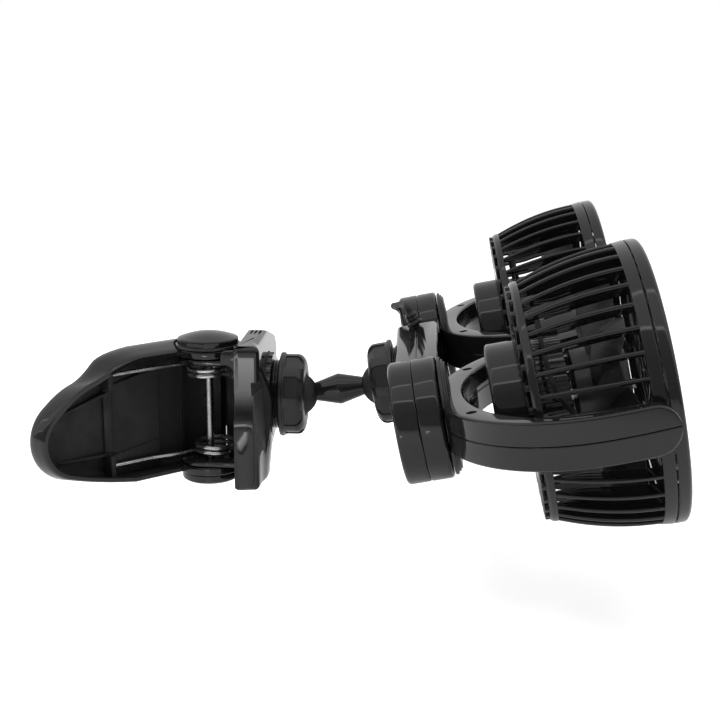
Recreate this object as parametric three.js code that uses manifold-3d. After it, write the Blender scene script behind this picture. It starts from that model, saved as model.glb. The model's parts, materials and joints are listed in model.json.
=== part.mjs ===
// Clip-on twin cooling fan for an aquarium rim, in millimetres, +Z up.
// The origin is the centre of the fixed jaw's grip pad. +X points from the clip to the fans and +Y along the
// cross bar. A spring clip carries a two-ball arm, the arm carries a cross bar, and each round end of the bar
// carries a swivelling yoke with a tilting fan head.
import * as THREE from 'three';
import { mergeVertices } from 'three/addons/utils/BufferGeometryUtils.js';
import Module from 'manifold-3d';

const wasm = await Module();
wasm.setup();

// ---- Driving dimensions -----------------------------------------------------------------------------------
const CLIP_BALL = [17, -12, 0];   // centre of the clip's ball, from the origin
const BALL_R = 7.5;
const ARM_LENGTH = 30;            // ball centre to ball centre
const ARM_RISE = 8;               // degrees above +X
const HEAD_RISE = 11;             // degrees above +X, of the bar and the fans
const BAR_MID = 13.65;            // second ball's centre to the bar's middle plane
const DISC_SPACING = 116;         // between the two round ends of the bar
const DISC_R = 18;
const BAR_HALF = 7;               // half the bar's thickness
const CAGE_R = 41.2;              // outer radius of a fan head
const PIVOT_A = 60.4;             // yoke pivots, from the middle plane of the bar
const RUN_GAP = 0.35;             // running clearance
const SEAM = 0.06;                // half the gap between two shells

// The hinge pin and the jaws, from the clip's ball.
const PIN = [-26, -20];
const PIN_R = 1.4;
const LEVER_ANGLE = 223.7;        // direction of the handle about the pin, degrees from +X
const PAD_FACE = -CLIP_BALL[0];   // the fixed jaw's grip face
const MOUTH = 6;                  // gap between the two grip faces at rest
const PAD_Y = [2, 22];
const PAD_Z = 12;
const EAR_IN = [15.9, 17.4];      // heights of the fixed half's ears
const EAR_OUT = [17.7, 20.4];     // heights of the lever's ears
const CAP_BASE = 20.6;            // height at which the hinge pin's caps begin
const EAR_R = 9.6;

// Angular steps of round pieces, coarse to fine.
const COARSE = 8, MEDIUM = 16, FINE = 24;
const RIB_COUNT = 36;

const BLACK_GLOSS = { color: 0x0d0d0e, roughness: 0.22, metalness: 0 };
const BLACK_SATIN = { color: 0x151516, roughness: 0.5, metalness: 0 };
const RUBBER = { color: 0x101010, roughness: 0.85, metalness: 0 };
const STEEL = { color: 0xb9bbbd, roughness: 0.25, metalness: 1 };
const COPPER = { color: 0xa5602f, roughness: 0.45, metalness: 0.8 };
const BRASS = { color: 0xb39253, roughness: 0.4, metalness: 0.9 };

// ---- Solids -----------------------------------------------------------------------------------------------
const radians = THREE.MathUtils.degToRad;

// A closed geometry as a solid. Poles of a lathe leave faces with no area, which are dropped.
function solid(geometry) {
  const bare = geometry.index ? geometry.toNonIndexed() : geometry.clone();
  bare.deleteAttribute('normal');
  bare.deleteAttribute('uv');
  const merged = mergeVertices(bare, 1e-4);
  const corners = merged.index.array;
  const triVerts = [];
  for (let i = 0; i < corners.length; i += 3) {
    const [a, b, c] = corners.slice(i, i + 3);
    if (a !== b && b !== c && c !== a) triVerts.push(a, b, c);
  }
  const vertProperties = merged.attributes.position.array;
  const mesh = new wasm.Mesh({ numProp: 3, vertProperties, triVerts: new Uint32Array(triVerts) });
  return new wasm.Manifold(mesh);
}

const join = (...pieces) => pieces.reduce((whole, piece) => whole.add(piece));
const cut = (whole, ...tools) => tools.reduce((left, tool) => left.subtract(tool), whole);

function block([x0, x1], [y0, y1], [z0, z1]) {
  const box = new THREE.BoxGeometry(x1 - x0, y1 - y0, z1 - z0);
  return solid(box.translate((x0 + x1) / 2, (y0 + y1) / 2, (z0 + z1) / 2));
}

// Turned pieces. A profile is a list of [distance along the axis, radius] that starts and ends on the axis,
// or runs round a ring with its outer side first.
function latheGeometry(profile, steps) {
  return new THREE.LatheGeometry(profile.map(([along, r]) => new THREE.Vector2(r, along)), steps);
}
const latheX = (profile, steps = MEDIUM) => solid(latheGeometry(profile, steps).rotateZ(-Math.PI / 2));
const latheY = (profile, steps = MEDIUM) => solid(latheGeometry(profile, steps));
const latheZ = (profile, steps = MEDIUM) => solid(latheGeometry(profile, steps).rotateX(Math.PI / 2));
const rodProfile = (from, to, r) => [[from, 0], [from, r], [to, r], [to, 0]];
const tubeProfile = (from, to, r, bore) => [[from, bore], [from, r], [to, r], [to, bore], [from, bore]];
const rodX = (from, to, r, steps = COARSE) => latheX(rodProfile(from, to, r), steps);
const rodY = (from, to, r, steps = COARSE) => latheY(rodProfile(from, to, r), steps);
const rodZ = (from, to, r, steps = COARSE) => latheZ(rodProfile(from, to, r), steps);

// Flat outlines pushed along an axis: (x, y) along Z, (y, z) along X, and (x, z) along Y.
function extrusion(shape, depth) {
  return new THREE.ExtrudeGeometry(shape, { depth, bevelEnabled: false, curveSegments: 5 });
}
const slabZ = (shape, [z0, z1]) => solid(extrusion(shape, z1 - z0).translate(0, 0, z0));
function slabX(shape, [x0, x1]) {
  const turn = new THREE.Matrix4().set(0, 0, 1, x0, 1, 0, 0, 0, 0, 1, 0, 0, 0, 0, 0, 1);
  return solid(extrusion(shape, x1 - x0).applyMatrix4(turn));
}
const slabY = (shape, [y0, y1]) => solid(extrusion(shape, y1 - y0).rotateX(Math.PI / 2).translate(0, y1, 0));

function polygon(points) {
  return new THREE.Shape(points.map(([x, y]) => new THREE.Vector2(x, y)));
}

// A round wire or cable along a curve.
function wire(curve, r, steps, sides = 8) {
  const ring = new THREE.Shape().absarc(0, 0, r, 0, 2 * Math.PI);
  const section = new THREE.Shape(ring.getSpacedPoints(sides).slice(0, sides));
  return solid(new THREE.ExtrudeGeometry(section, { extrudePath: curve, steps }));
}
const smoothCurve = (points) => new THREE.CatmullRomCurve3(points.map((p) => new THREE.Vector3(...p)), false,
  'centripetal');

function geometryOf(body) {
  const mesh = body.getMesh();
  const geometry = new THREE.BufferGeometry();
  geometry.setAttribute('position', new THREE.BufferAttribute(new Float32Array(mesh.vertProperties), 3));
  geometry.setIndex(new THREE.BufferAttribute(new Uint32Array(mesh.triVerts), 1));
  const flat = geometry.toNonIndexed();
  flat.computeVertexNormals();
  return flat;
}

function piece(group, name, body, look) {
  const mesh = new THREE.Mesh(geometryOf(body), new THREE.MeshStandardMaterial(look));
  mesh.name = name;
  group.add(mesh);
}

// ---- Clip -------------------------------------------------------------------------------------------------
// Side outline of the fixed half in (y, z): tall at its near end, lower at the jaw.
function fixedHalfOutline(inset) {
  const near = -33.3 + inset, far = 24 - inset, high = 22.7 - inset, deep = high + 1.1, low = 16.5 - inset;
  const slopeStart = -4, corner = 3, tip = 5;
  const shape = new THREE.Shape();
  shape.moveTo(near, -deep + 1);
  shape.quadraticCurveTo(near, -deep, near + 1, -deep);
  shape.lineTo(slopeStart, -high);
  shape.lineTo(far - tip, -low);
  shape.quadraticCurveTo(far, -low, far, -low + tip);
  shape.lineTo(far, low - tip);
  shape.quadraticCurveTo(far, low, far - tip, low);
  shape.lineTo(slopeStart, high);
  shape.lineTo(near + corner, high);
  shape.quadraticCurveTo(near, high, near, high - corner);
  return shape;
}

// The plate seen from above in (x, y): a near face, a cheek that swells beside the flange, and a flat jaw.
function fixedHalfPlan() {
  const back = -15, front = -9.3;
  return polygon([[back - 1.2, -33.3], [-8.4, -33.3], [-7.2, -29], [-6.3, -23], [-5.9, -18.5], [-6.3, -14.6],
    [front, -12], [front, 25], [back, 25], [back, -31], [back - 1.2, -31]]);
}

function fixedHalf() {
  const back = -15, recess = -11.1, pocketFloor = -13;
  const plate = slabX(fixedHalfOutline(0), [back - 2, -5]).intersect(slabZ(fixedHalfPlan(), [-25, 23]));
  const pocket = slabX(fixedHalfOutline(2), [back - 2, pocketFloor]);
  const pocketNearPart = pocket.intersect(block([-20, -10], [-30.7, -3], [-30, 30]));
  const upperCheek = block([-9, 0], [-32.6, -11.4], [12, 24]);
  const leaf = polygon([[-21.5, 11.2], [-27, 11], [-34.5, 10], [-34.5, -8], [-31, -18.5], [-26, -16],
    [-22, -9]]);
  let body = cut(plate, pocketNearPart, upperCheek, slabX(leaf, [-8.9, 0]), rodX(recess, 0, 14.5, FINE),
    rodX(back - 1, recess + 1, 1.9), rodX(back - 1, pocketFloor, 3.5));
  const web = block([-22.6, -12.5], [-7.5, -6], [-EAR_IN[0] - 0.5, EAR_IN[0] + 0.5]);
  const shoulder = block([-20, back], [-33, -31.2], [16.5, 21]);
  body = join(body, web, shoulder);
  for (const side of [-1, 1]) {
    const [z0, z1] = EAR_IN.map((z) => side * z).sort((a, b) => a - b);
    const ear = join(rodZ(z0, z1, EAR_R, MEDIUM).translate(...PIN, 0),
      block([PIN[0], -12.5], [PIN[1] - EAR_R, PIN[1] + EAR_R], [z0, z1]));
    body = cut(body.add(ear), rodZ(z0 - 1, z1 + 1, PIN_R + RUN_GAP).translate(...PIN, 0));
  }
  // Windows that the springs' short legs reach through.
  return cut(body, block([-15.5, -12.9], [-27.5, -12], [-14.9, 14.9]));
}

// The handle's outline in (distance from the pin, z): a round nose, a hollow slope and a straight underside.
// The back of the handle is a little larger than its rim, by flare.
function handleOutline(inset, flare = 0) {
  const noseX = 47, noseZ = -3, noseR = 12 + flare - inset, top = 20.2 + flare - inset;
  const bottom = -19.6 - flare / 2 + inset;
  const shape = new THREE.Shape();
  shape.moveTo(-2, bottom);
  shape.lineTo(28, bottom);
  shape.absarc(noseX, noseZ, noseR, radians(-75), radians(55), false);
  shape.quadraticCurveTo(47.5, 13.1 - inset, 40.5 + flare, 15 + flare - inset);
  shape.quadraticCurveTo(31 + flare, top - 0.6, 24, top);
  shape.lineTo(-2, top);
  return shape;
}

// Plan outline of the handle in (distance from the pin, depth): thin at the nose, deep at the pin.
function handlePlan(inset) {
  const start = -1, bend = 20, end = 61;
  return polygon([[start, 1], [start, inset - 12.3], [bend, inset - 12], [end, inset - 8], [end, 1]]);
}

// The lever is modelled about the pin with the handle along +X and its open side towards +Y. Its jaw is
// turned back to run parallel to the fixed jaw.
function lever() {
  const wall = 1.8, jawTurn = -LEVER_ANGLE;
  const flared = cut(slabY(handleOutline(0, 1.2), [-13, -4]), rodZ(17, 24, 11, FINE));
  const outside = slabY(handleOutline(0), [-13, 0]).add(flared).intersect(slabZ(handlePlan(0), [-23, 23]));
  const inside = slabY(handleOutline(wall), [-13, 2]).intersect(slabZ(handlePlan(wall), [-23, 23]));
  const jawBack = -32 - PIN[0], jawFront = PAD_FACE - MOUTH - 2 - PIN[0];
  const jawSide = new THREE.Shape();
  jawSide.moveTo(8, -20);
  jawSide.lineTo(17, -20);
  jawSide.quadraticCurveTo(42, -16.5, 44, -10);
  jawSide.lineTo(44, 10);
  jawSide.quadraticCurveTo(42, 16.5, 17, 20);
  jawSide.lineTo(8, 20);
  const jaw = slabX(jawSide, [jawBack, jawFront]);
  let body = join(cut(outside, inside), jaw.rotate([0, 0, jawTurn]),
    rodZ(-20, 20, 12, FINE).intersect(block([-13, 4], [-13, -6], [-21, 21])));
  for (const side of [-1, 1]) {
    const [z0, z1] = EAR_OUT.map((z) => side * z).sort((a, b) => a - b);
    body = body.add(rodZ(z0, z1, 10, MEDIUM));
  }
  body = cut(body, rodZ(-EAR_OUT[0], EAR_OUT[0], 10.4, FINE), rodZ(-24, 24, PIN_R + RUN_GAP));
  // Raised floor, the step at its end and the tabs that hold the springs' long legs.
  const floor = join(block([16, 36], [-11, -9], [-11, 11]), block([36, 41], [-10.5, -7.6], [-12, 9]));
  const tab = (zRange) => block([33, 34.6], [-10.5, -3.6], zRange);
  const tabs = join(tab([10.5, 17.2]), tab([-17.8, -11]));
  return join(body, floor, tabs.intersect(slabY(handleOutline(1), [-13, 0])));
}

// A torsion spring of two turns about the pin, modelled about the pin with its long leg along +X.
function spring(side, legZ, offset) {
  const coilR = 5.75, wireR = 0.75, turns = 2, pitch = 1.75;
  const [cx, cy] = offset, points = [];
  points.push([31.5, -6.6, side * legZ], [20, -6.4, side * legZ], [8, -coilR - 0.3 + cy, side * legZ]);
  const steps = turns * 10;
  for (let i = 0; i <= steps + 3; i += 1) {
    const angle = radians(-90) - (2 * Math.PI * i) / 10;
    const z = side * (legZ - (pitch * i) / 10);
    points.push([cx + coilR * Math.cos(angle), cy + coilR * Math.sin(angle), z]);
  }
  const endZ = side * (legZ - (pitch * (steps + 3.6)) / 10);
  points.push([cx - 6.4, cy + 9.3, endZ]);
  return wire(smoothCurve(points), wireR, 38, 5);
}

// A cap by (height over its base, radius), with a bore for the pin. The upper cap is domed and notched.
function pinCap(side) {
  const profile = side > 0
    ? [[0, 0], [0, 10.5], [0.8, 10.5], [0.8, 9.75], [2.9, 9.75], [4.1, 6.5], [4.7, 0]]
    : [[0, 0], [0, 9.25], [2.2, 9.25], [2.8, 8.4], [2.8, 0]];
  const notch = block([9.2, 11], [-3.1, 3.1], [0.8, 2.3]).rotate([0, 0, -105]);
  const cap = cut(latheZ(profile, FINE), rodZ(-1, 1.8, PIN_R + 0.15), ...(side > 0 ? [notch] : []));
  return side > 0 ? cap.translate(0, 0, CAP_BASE) : cap.translate(0, 0, CAP_BASE).mirror([0, 0, 1]);
}

function clip() {
  const group = new THREE.Group();
  piece(group, 'clip_body', fixedHalf(), BLACK_GLOSS);
  piece(group, 'clip_ball_socket', ballSocket(-10.9, -7.3, 14.1), BLACK_GLOSS);
  const head = [[-14.9, 0], [-14.9, 3.2], [-13.1, 3.2], [-13.1, 1.5], [-8.9, 1.5], [-8.9, 0]];
  piece(group, 'clip_socket_screw', latheX(head, COARSE), STEEL);
  const grip = (from, to) => block([from, to], PAD_Y, [-PAD_Z, PAD_Z]);
  piece(group, 'body_jaw_pad', grip(PAD_FACE, PAD_FACE + 1.95), RUBBER);

  const aboutPin = new THREE.Group();
  aboutPin.position.set(...PIN, 0);
  piece(aboutPin, 'hinge_pin', rodZ(-CAP_BASE - 1.5, CAP_BASE + 1.5, PIN_R), STEEL);
  piece(aboutPin, 'pin_cap_top', pinCap(1), BLACK_GLOSS);
  piece(aboutPin, 'pin_cap_bottom', pinCap(-1), BLACK_GLOSS);

  const handle = new THREE.Group();
  handle.rotation.z = radians(LEVER_ANGLE);
  piece(handle, 'clip_lever', lever(), BLACK_GLOSS);
  piece(handle, 'spring_upper', spring(1, 14.4, [0.3, -0.4]), STEEL);
  piece(handle, 'spring_lower', spring(-1, 15, [-1.1, 1]), STEEL);
  aboutPin.add(handle);
  group.add(aboutPin);
  piece(group, 'lever_jaw_pad', grip(PAD_FACE - MOUTH - 1.7, PAD_FACE - MOUTH), RUBBER);
  piece(group, 'clip_lock_nut', lockNut(), BLACK_SATIN);
  piece(group, 'seat_ring_a', seatRing(), RUBBER);
  return group;
}

// ---- Ball joints, each modelled about its ball's centre with the socket towards -X -------------------------
const CUP_R = BALL_R + RUN_GAP;
const cupPoint = (x) => [x, Math.sqrt(CUP_R ** 2 - x ** 2)];

function ballSocket(back, flangeFront, flangeR) {
  const thread = 11.7, bore = 9.6, cupFloor = -7.95, mouth = 0.5;
  const flange = [[back, 0], [back, flangeR], [flangeFront, flangeR], [flangeFront, thread]];
  const inside = [[mouth, bore], [-6.9, bore], [-6.9, 4.8], [cupFloor, 3.6], [cupFloor, 0]];
  return cut(latheX([...flange, [mouth, thread], ...inside], FINE), rodX(back - 1, -8.5, 1.65));
}

function seatRing() {
  const inner = [0.3, -2.2, -4.4, -6.5].map(cupPoint);
  return latheX([[-6.5, 6.5], [-4.5, 9.3], [0.3, 9.3], ...inner, [-6.5, 6.5]], MEDIUM);
}

function lockNut() {
  const back = -4.8, rim = -3.45, front = 3.6, rimR = 14.15, bodyR = 13.6, grips = 8;
  const outside = [[back, rimR], [rim, rimR], [rim, bodyR], [1.2, bodyR],
    [2.8, 12.9], [front, 11]];
  const inside = [cupPoint(front), cupPoint(1), [1, 12.15], [back, 12.15]];
  let nut = latheX([[back, 12.15], ...outside, ...inside], FINE);
  for (let i = 0; i < grips; i += 1) {
    const scoop = block([-2.6, 2.9], [-3.5, 3.5], [12.75, 15]);
    nut = cut(nut, scoop.rotate([(360 * (i + 0.5)) / grips, 0, 0]));
  }
  return nut;
}

function ball(boreFrom) {
  const sphere = solid(new THREE.SphereGeometry(BALL_R, 16, 10).rotateZ(Math.PI / 2));
  return cut(sphere, rodX(boreFrom, BALL_R + 1, 2.2));
}

function armLink() {
  const stud = 1.85, from = 3.6, neck = 3.15, waist = 5.2, mid = ARM_LENGTH / 2, shoulder = 7.3;
  const half = [[from, 0], [from, stud], [shoulder, stud], [shoulder, neck], [mid - 0.5, waist]];
  const mirrored = half.map(([x, r]) => [ARM_LENGTH - x, r]).reverse();
  return latheX([...half, ...mirrored], MEDIUM);
}

function arm() {
  const group = new THREE.Group();
  group.rotation.y = radians(-ARM_RISE);
  piece(group, 'arm_ball_a', ball(3.2), BLACK_SATIN);
  piece(group, 'arm_link', armLink(), BLACK_GLOSS);
  const far = ball(3.2).mirror([1, 0, 0]).translate(ARM_LENGTH, 0, 0);
  piece(group, 'arm_ball_b', far, BLACK_SATIN);
  return group;
}

// ---- Cross bar, about the second ball's centre with the fans towards +X ------------------------------------
// The bar's outline, shrunk by inset: two discs, a web between them and a square block in the middle.
function barBody([x0, x1], inset) {
  const web = 11 - inset, midY = 17.6 - inset, midZ = 15 - inset, reach = DISC_SPACING / 2;
  const disc = rodX(x0, x1, DISC_R - inset, FINE);
  const chamfer = 2.5;
  const middle = polygon([[-midY, -midZ + chamfer], [-midY + chamfer, -midZ], [midY - chamfer, -midZ],
    [midY, -midZ + chamfer], [midY, midZ - chamfer], [midY - chamfer, midZ], [-midY + chamfer, midZ],
    [-midY, midZ - chamfer]]);
  return join(disc.translate(0, reach, 0), disc.translate(0, -reach, 0), slabX(middle, [x0, x1]),
    block([x0, x1], [-reach, reach], [-web, web]));
}

const BAR_SCREW_Y = 33;
const CABLE_R = 1.15;
const CABLE_Y = 12;
const CABLE_TOP = 15;             // height of the bar's middle block

function barShell([x0, x1], [hollow0, hollow1], holes) {
  let shell = cut(barBody([x0, x1], 0), barBody([hollow0, hollow1], 2));
  for (const side of [-1, 1]) {
    const pillar = rodX(Math.max(x0, hollow0 - 1), Math.min(x1, hollow1 + 1), 3.6);
    shell = shell.add(pillar.translate(0, side * BAR_SCREW_Y, 0));
  }
  const outlet = rodZ(10, 20, CABLE_R + RUN_GAP).translate(BAR_MID, CABLE_Y, 0);
  return cut(shell, outlet, ...holes);
}

function barRearShell() {
  const back = BAR_MID - BAR_HALF, seam = BAR_MID - SEAM;
  const screwHoles = [-1, 1].flatMap((side) => [rodX(back - 1, seam + 1, 1.5), rodX(back - 1, back + 2, 2.9)]
    .map((hole) => hole.translate(0, side * BAR_SCREW_Y, 0)));
  return barShell([back, seam], [back + 1.9, seam + 1], [...screwHoles, rodX(back - 1, back + 3, 12, FINE)]);
}

function barFrontShell() {
  const front = BAR_MID + BAR_HALF, seam = BAR_MID + SEAM;
  const holes = [-1, 1].flatMap((side) => [
    rodX(seam - 1, front - 2.5, 1.3).translate(0, side * BAR_SCREW_Y, 0),
    rodX(seam, front + 1, 5.4, MEDIUM).translate(0, side * DISC_SPACING / 2, 0)]);
  return barShell([seam, front], [seam - 1, front - 1.9], holes);
}

function barSocket() {
  const thread = 11.7, back = 8.9, end = 10.6;
  const outside = [[end, 0], [end, 12.8], [back, 12.8], [back, thread], [-0.5, thread]];
  const inside = [[-0.5, 9.6], [6.9, 9.6], [6.9, 4.8], [7.95, 3.6], [7.95, 0]];
  return latheX([...outside, ...inside].reverse(), FINE);
}

function bar() {
  const group = new THREE.Group();
  piece(group, 'bar_rear_shell', barRearShell(), BLACK_GLOSS);
  piece(group, 'bar_front_shell', barFrontShell(), BLACK_GLOSS);
  piece(group, 'bar_ball_socket', barSocket(), BLACK_GLOSS);
  const back = BAR_MID - BAR_HALF;
  const headR = 2.5, shankR = 1.1, headTop = back + 0.3, headBase = back + 1.9, tip = 17.6;
  const screw = [[headTop, 0], [headTop, headR], [headBase, headR], [headBase, shankR], [tip, shankR], [tip, 0]];
  for (const [name, side] of [['bar_screw_near', -1], ['bar_screw_far', 1]]) {
    piece(group, name, latheX(screw, COARSE).translate(0, side * BAR_SCREW_Y, 0), STEEL);
  }
  piece(group, 'bar_lock_nut', lockNut().mirror([1, 0, 0]), BLACK_SATIN);
  piece(group, 'seat_ring_b', seatRing().mirror([1, 0, 0]), RUBBER);
  cable(group);
  return group;
}

// The supply cable leaves the top of the bar, loops behind its far end and hangs down to the connector.
function cable(group) {
  const base = CABLE_TOP + RUN_GAP, plugTop = -34, hang = [BAR_MID - 1, 84];
  const gland = join(block([-2.6, 2.6], [-2.5, 2.5], [0, 1.2]), rodZ(0.5, 4.6, 2.1));
  const lean = gland.rotate([-8, -18, 0]).intersect(block([-9, 9], [-9, 9], [0, 9]));
  const bore = rodZ(-1, 2, CABLE_R + 0.45).add(rodZ(1, 9, CABLE_R + 0.45).rotate([-8, -18, 0]));
  piece(group, 'cable_gland', cut(lean, bore).translate(BAR_MID, CABLE_Y, base), BLACK_SATIN);
  const outside = [[BAR_MID - 2, 13.6, base + 6.4], [BAR_MID - 2.7, 19, base + 6.6], [BAR_MID - 4.3, 28, base + 5.4],
    [BAR_MID - 6.6, 36, 19.3], [BAR_MID - 8.3, 44, 18], [BAR_MID - 8.5, 57, 15.3], [BAR_MID - 8.5, 71, 12.3],
    [BAR_MID - 7.4, 79, 8], [BAR_MID - 4, 83, -3], [...hang, -18], [...hang, plugTop]];
  const path = smoothCurve([[BAR_MID, CABLE_Y, 13], [BAR_MID, CABLE_Y, base + 0.5],
    [BAR_MID - 1.3, CABLE_Y + 0.6, base + 4.5], ...outside]);
  piece(group, 'power_cable', wire(path, CABLE_R, 30, 6), RUBBER);
  const plugSide = [[plugTop - 26, 0], [plugTop - 26, 2.75], [plugTop - 16.5, 2.75], [plugTop - 16.5, 4.6],
    [plugTop - 3, 4.8], [plugTop + 1.5, 2.6], [plugTop + 1.5, 0]];
  const plug = cut(latheZ(plugSide, COARSE), rodZ(plugTop - 1, plugTop + 2, CABLE_R + 0.1),
    rodZ(plugTop - 27, plugTop - 14, 1.25));
  piece(group, 'dc_connector', plug.translate(...hang, 0), BLACK_SATIN);
}

// ---- Fan head, about the middle of its round bar end with the air blowing towards +X -----------------------
const HUB_FACE = BAR_HALF + RUN_GAP;
const HUB_TOP = HUB_FACE + 2.2;
const YOKE_BACK = HUB_TOP + 0.3;
const YOKE_HALF_HEIGHT = 6.65;
const ARM_INNER = 46.2;           // inner face of a yoke arm at its tip, from the fan's middle
const YOKE_SCREWS = [[15.2, 27], [15.2, -27]];

function yokeOutline() {
  const bendA = 47.9, tip = PIVOT_A + YOKE_HALF_HEIGHT;
  const outerA = 42.7, outerY = 53.1, innerA = 34.7, innerY = 48.4;
  const shape = new THREE.Shape();
  shape.moveTo(tip, 50.6);
  shape.quadraticCurveTo(58, outerY, bendA, outerY);
  shape.absellipse(bendA, 0, outerA, outerY, radians(90), radians(270), false);
  shape.quadraticCurveTo(58, -outerY, tip, -50.6);
  shape.lineTo(tip, -ARM_INNER);
  shape.quadraticCurveTo(58, -innerY, bendA, -innerY);
  shape.absellipse(bendA, 0, innerA, innerY, radians(270), radians(90), true);
  shape.quadraticCurveTo(58, innerY, tip, ARM_INNER);
  return shape;
}

function yokeHalf(side) {
  const [z0, z1] = side > 0 ? [SEAM, YOKE_HALF_HEIGHT] : [-YOKE_HALF_HEIGHT, -SEAM];
  const outline = new THREE.Shape();
  outline.moveTo(YOKE_BACK, -YOKE_HALF_HEIGHT);
  outline.lineTo(PIVOT_A, -YOKE_HALF_HEIGHT);
  outline.absarc(PIVOT_A, 0, YOKE_HALF_HEIGHT, radians(-90), radians(90), false);
  outline.lineTo(YOKE_BACK, YOKE_HALF_HEIGHT);
  const settings = { depth: z1 - z0, bevelEnabled: false, curveSegments: 7 };
  const sweep = new THREE.ExtrudeGeometry(yokeOutline(), settings);
  let half = solid(sweep.translate(0, 0, z0)).intersect(slabY(outline, [-60, 60]));
  half = cut(half, rodX(0, 14.4, 3.4), rodY(-49.9, 49.9, 3.5).translate(PIVOT_A, 0, 0));
  for (const [a, y] of YOKE_SCREWS) {
    const hole = side > 0 ? rodZ(-1, 3.5, 0.8) : join(rodZ(-8, 1, 1.3), rodZ(-8, -4, 1.9));
    half = cut(half, hole.translate(a, y, 0));
    if (side > 0) half = cut(half, rodZ(5.4, 8, 1.5).translate(a, y, 0));
  }
  return half;
}

function swivelHub() {
  const flange = rodX(HUB_FACE, HUB_TOP, 17.3, FINE);
  const neck = join(rodX(3.2, HUB_FACE + 1, 5, MEDIUM), rodX(1.2, 4, 4.2, MEDIUM));
  const spigot = rodX(HUB_TOP - 1, 13.4, 3);
  return cut(join(flange, neck, spigot), rodX(0, 14, 2));
}

function pivotPin(side) {
  const pin = join(rodY(46.6, 49.5, 3.15), rodY(41.2, 47, 2.35));
  return (side > 0 ? pin : pin.mirror([0, 1, 0])).translate(PIVOT_A, 0, 0);
}

// One curved rib of the cage in (a, r), 1.5 mm thick.
function cageRib() {
  const thickness = 1.5;
  const shape = new THREE.Shape();
  shape.moveTo(34, 32.3);
  shape.lineTo(63.2, 39.5);
  shape.lineTo(63.2, 40.9);
  shape.quadraticCurveTo(48, 41.6, 34, 34.9);
  const rib = new THREE.ExtrudeGeometry(shape, { depth: thickness, bevelEnabled: false, curveSegments: 2 });
  return solid(rib.rotateX(Math.PI / 2).translate(0, thickness / 2, 0));
}

// Every rib meets its two hoops in the middle of a flat, so the hoops have one flat for each rib.
function cage() {
  const hoop = (from, to, r, bore) => latheX(tubeProfile(from, to, r, bore), RIB_COUNT);
  let body = join(hoop(31.4, 34.6, 35.3, 32.1), hoop(62.6, 65.5, CAGE_R, 39.1),
    latheX(tubeProfile(32, 34.4, 21.2, 18.9), MEDIUM));
  const spokes = RIB_COUNT / 3;
  for (let i = 0; i < spokes; i += 1) {
    body = body.add(block([32.2, 34], [-1.1, 1.1], [20.6, 33]).rotate([(360 * (i + 0.5)) / spokes, 0, 0]));
  }
  for (let i = 0; i < RIB_COUNT; i += 1) {
    body = body.add(cageRib().rotate([(360 * (i + 0.5)) / RIB_COUNT, 0, 0]));
  }
  for (const side of [-1, 1]) {
    const [y0, y1] = side > 0 ? [38.6, 46] : [-46, -38.6];
    const web = block([PIVOT_A, 64], side > 0 ? [38.6, 40.8] : [-40.8, -38.6], [-4.6, 4.6]);
    body = join(body, rodY(y0, y1, 4.6).translate(PIVOT_A, 0, 0), web);
  }
  return cut(body, rodY(-60, 60, 2.75).translate(PIVOT_A, 0, 0));
}

function frontGrille() {
  const rim = latheX([[65.8, 39], [65.8, CAGE_R], [68.4, CAGE_R], [69.6, 40.1], [65.8, 39]], RIB_COUNT);
  const cap = rodX(67.6, 69.5, 9, MEDIUM);
  let body = join(rim, cap);
  body = body.add(latheX(tubeProfile(67.9, 69.3, 23.7, 22.3), MEDIUM));
  const spokes = 8;
  for (let i = 0; i < spokes; i += 1) {
    body = body.add(block([67.8, 69.2], [-0.8, 0.8], [8, 40.2]).rotate([(360 * (i + 0.5)) / spokes, 0, 0]));
  }
  return body;
}

function motorHousing() {
  const outside = [[21.2, 0], [21.2, 17], [22.6, 18.5], [35, 18.5], [35, 17.8], [43, 17.8]];
  const shell = latheX([...outside, [43, 16.4], [22.8, 16.4], [22.8, 0]], MEDIUM);
  const seat = cut(rodX(22, 25.5, 5.5), rodX(23.6, 26, 3.9));
  return cut(shell.add(seat), rodZ(14, 20, 1.2).translate(38, 0, 0));
}

const bearing = () => latheX(tubeProfile(23.8, 31, 3.7, 1.85), COARSE);
const shaft = () => rodX(24.2, 62.5, 1.5);
const rotorMagnet = () => latheX(tubeProfile(31.6, 42.4, 8.6, 1.6), MEDIUM);

function stator() {
  const poles = 6;
  let ring = latheX(tubeProfile(31.4, 42.6, 16.1, 13.4), MEDIUM);
  for (let i = 0; i < poles; i += 1) {
    ring = ring.add(block([32, 42], [-2.6, 2.6], [9.3, 14]).rotate([(360 * i) / poles, 0, 0]));
  }
  return ring;
}

function impeller() {
  const blades = 7, twist = 38;
  const cup = latheX([[45, 0], [45, 13.2], [58.5, 13.2], [60.5, 11.5], [60.5, 0]], MEDIUM);
  let body = cut(cup, latheX(rodProfile(44, 50, 11.4), MEDIUM)).add(rodX(46, 52, 3.2));
  const blade = polygon([[-7.6, -0.7], [7.6, -0.7], [7.6, 0.7], [-7.6, 0.7]]);
  const wing = solid(extrusion(blade, 20.2).translate(0, 0, 12));
  for (let i = 0; i < blades; i += 1) {
    const pitched = wing.rotate([0, 0, twist]).translate(54.6, 0, 0);
    body = body.add(pitched.rotate([(360 * i) / blades, 0, 0]));
  }
  return cut(body, rodX(44, 64, 1.6));
}

// The motor's lead runs from its housing along the back of the cage to the near pivot.
function motorLead(side) {
  const path = smoothCurve([[38, 0, 17.1], [38, 0, 19.6], [37.5, side * 7, 25.5], [37, side * 20, 22],
    [38.5, side * 29.5, 9], [45, side * 33.6, 0], [52, side * 34.7, 0], [58, side * 36, 0], [60.2, side * 37, 0],
    [PIVOT_A, side * 39, 0], [PIVOT_A, side * 41, 0]]);
  return wire(path, 0.7, 14, 5);
}

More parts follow.
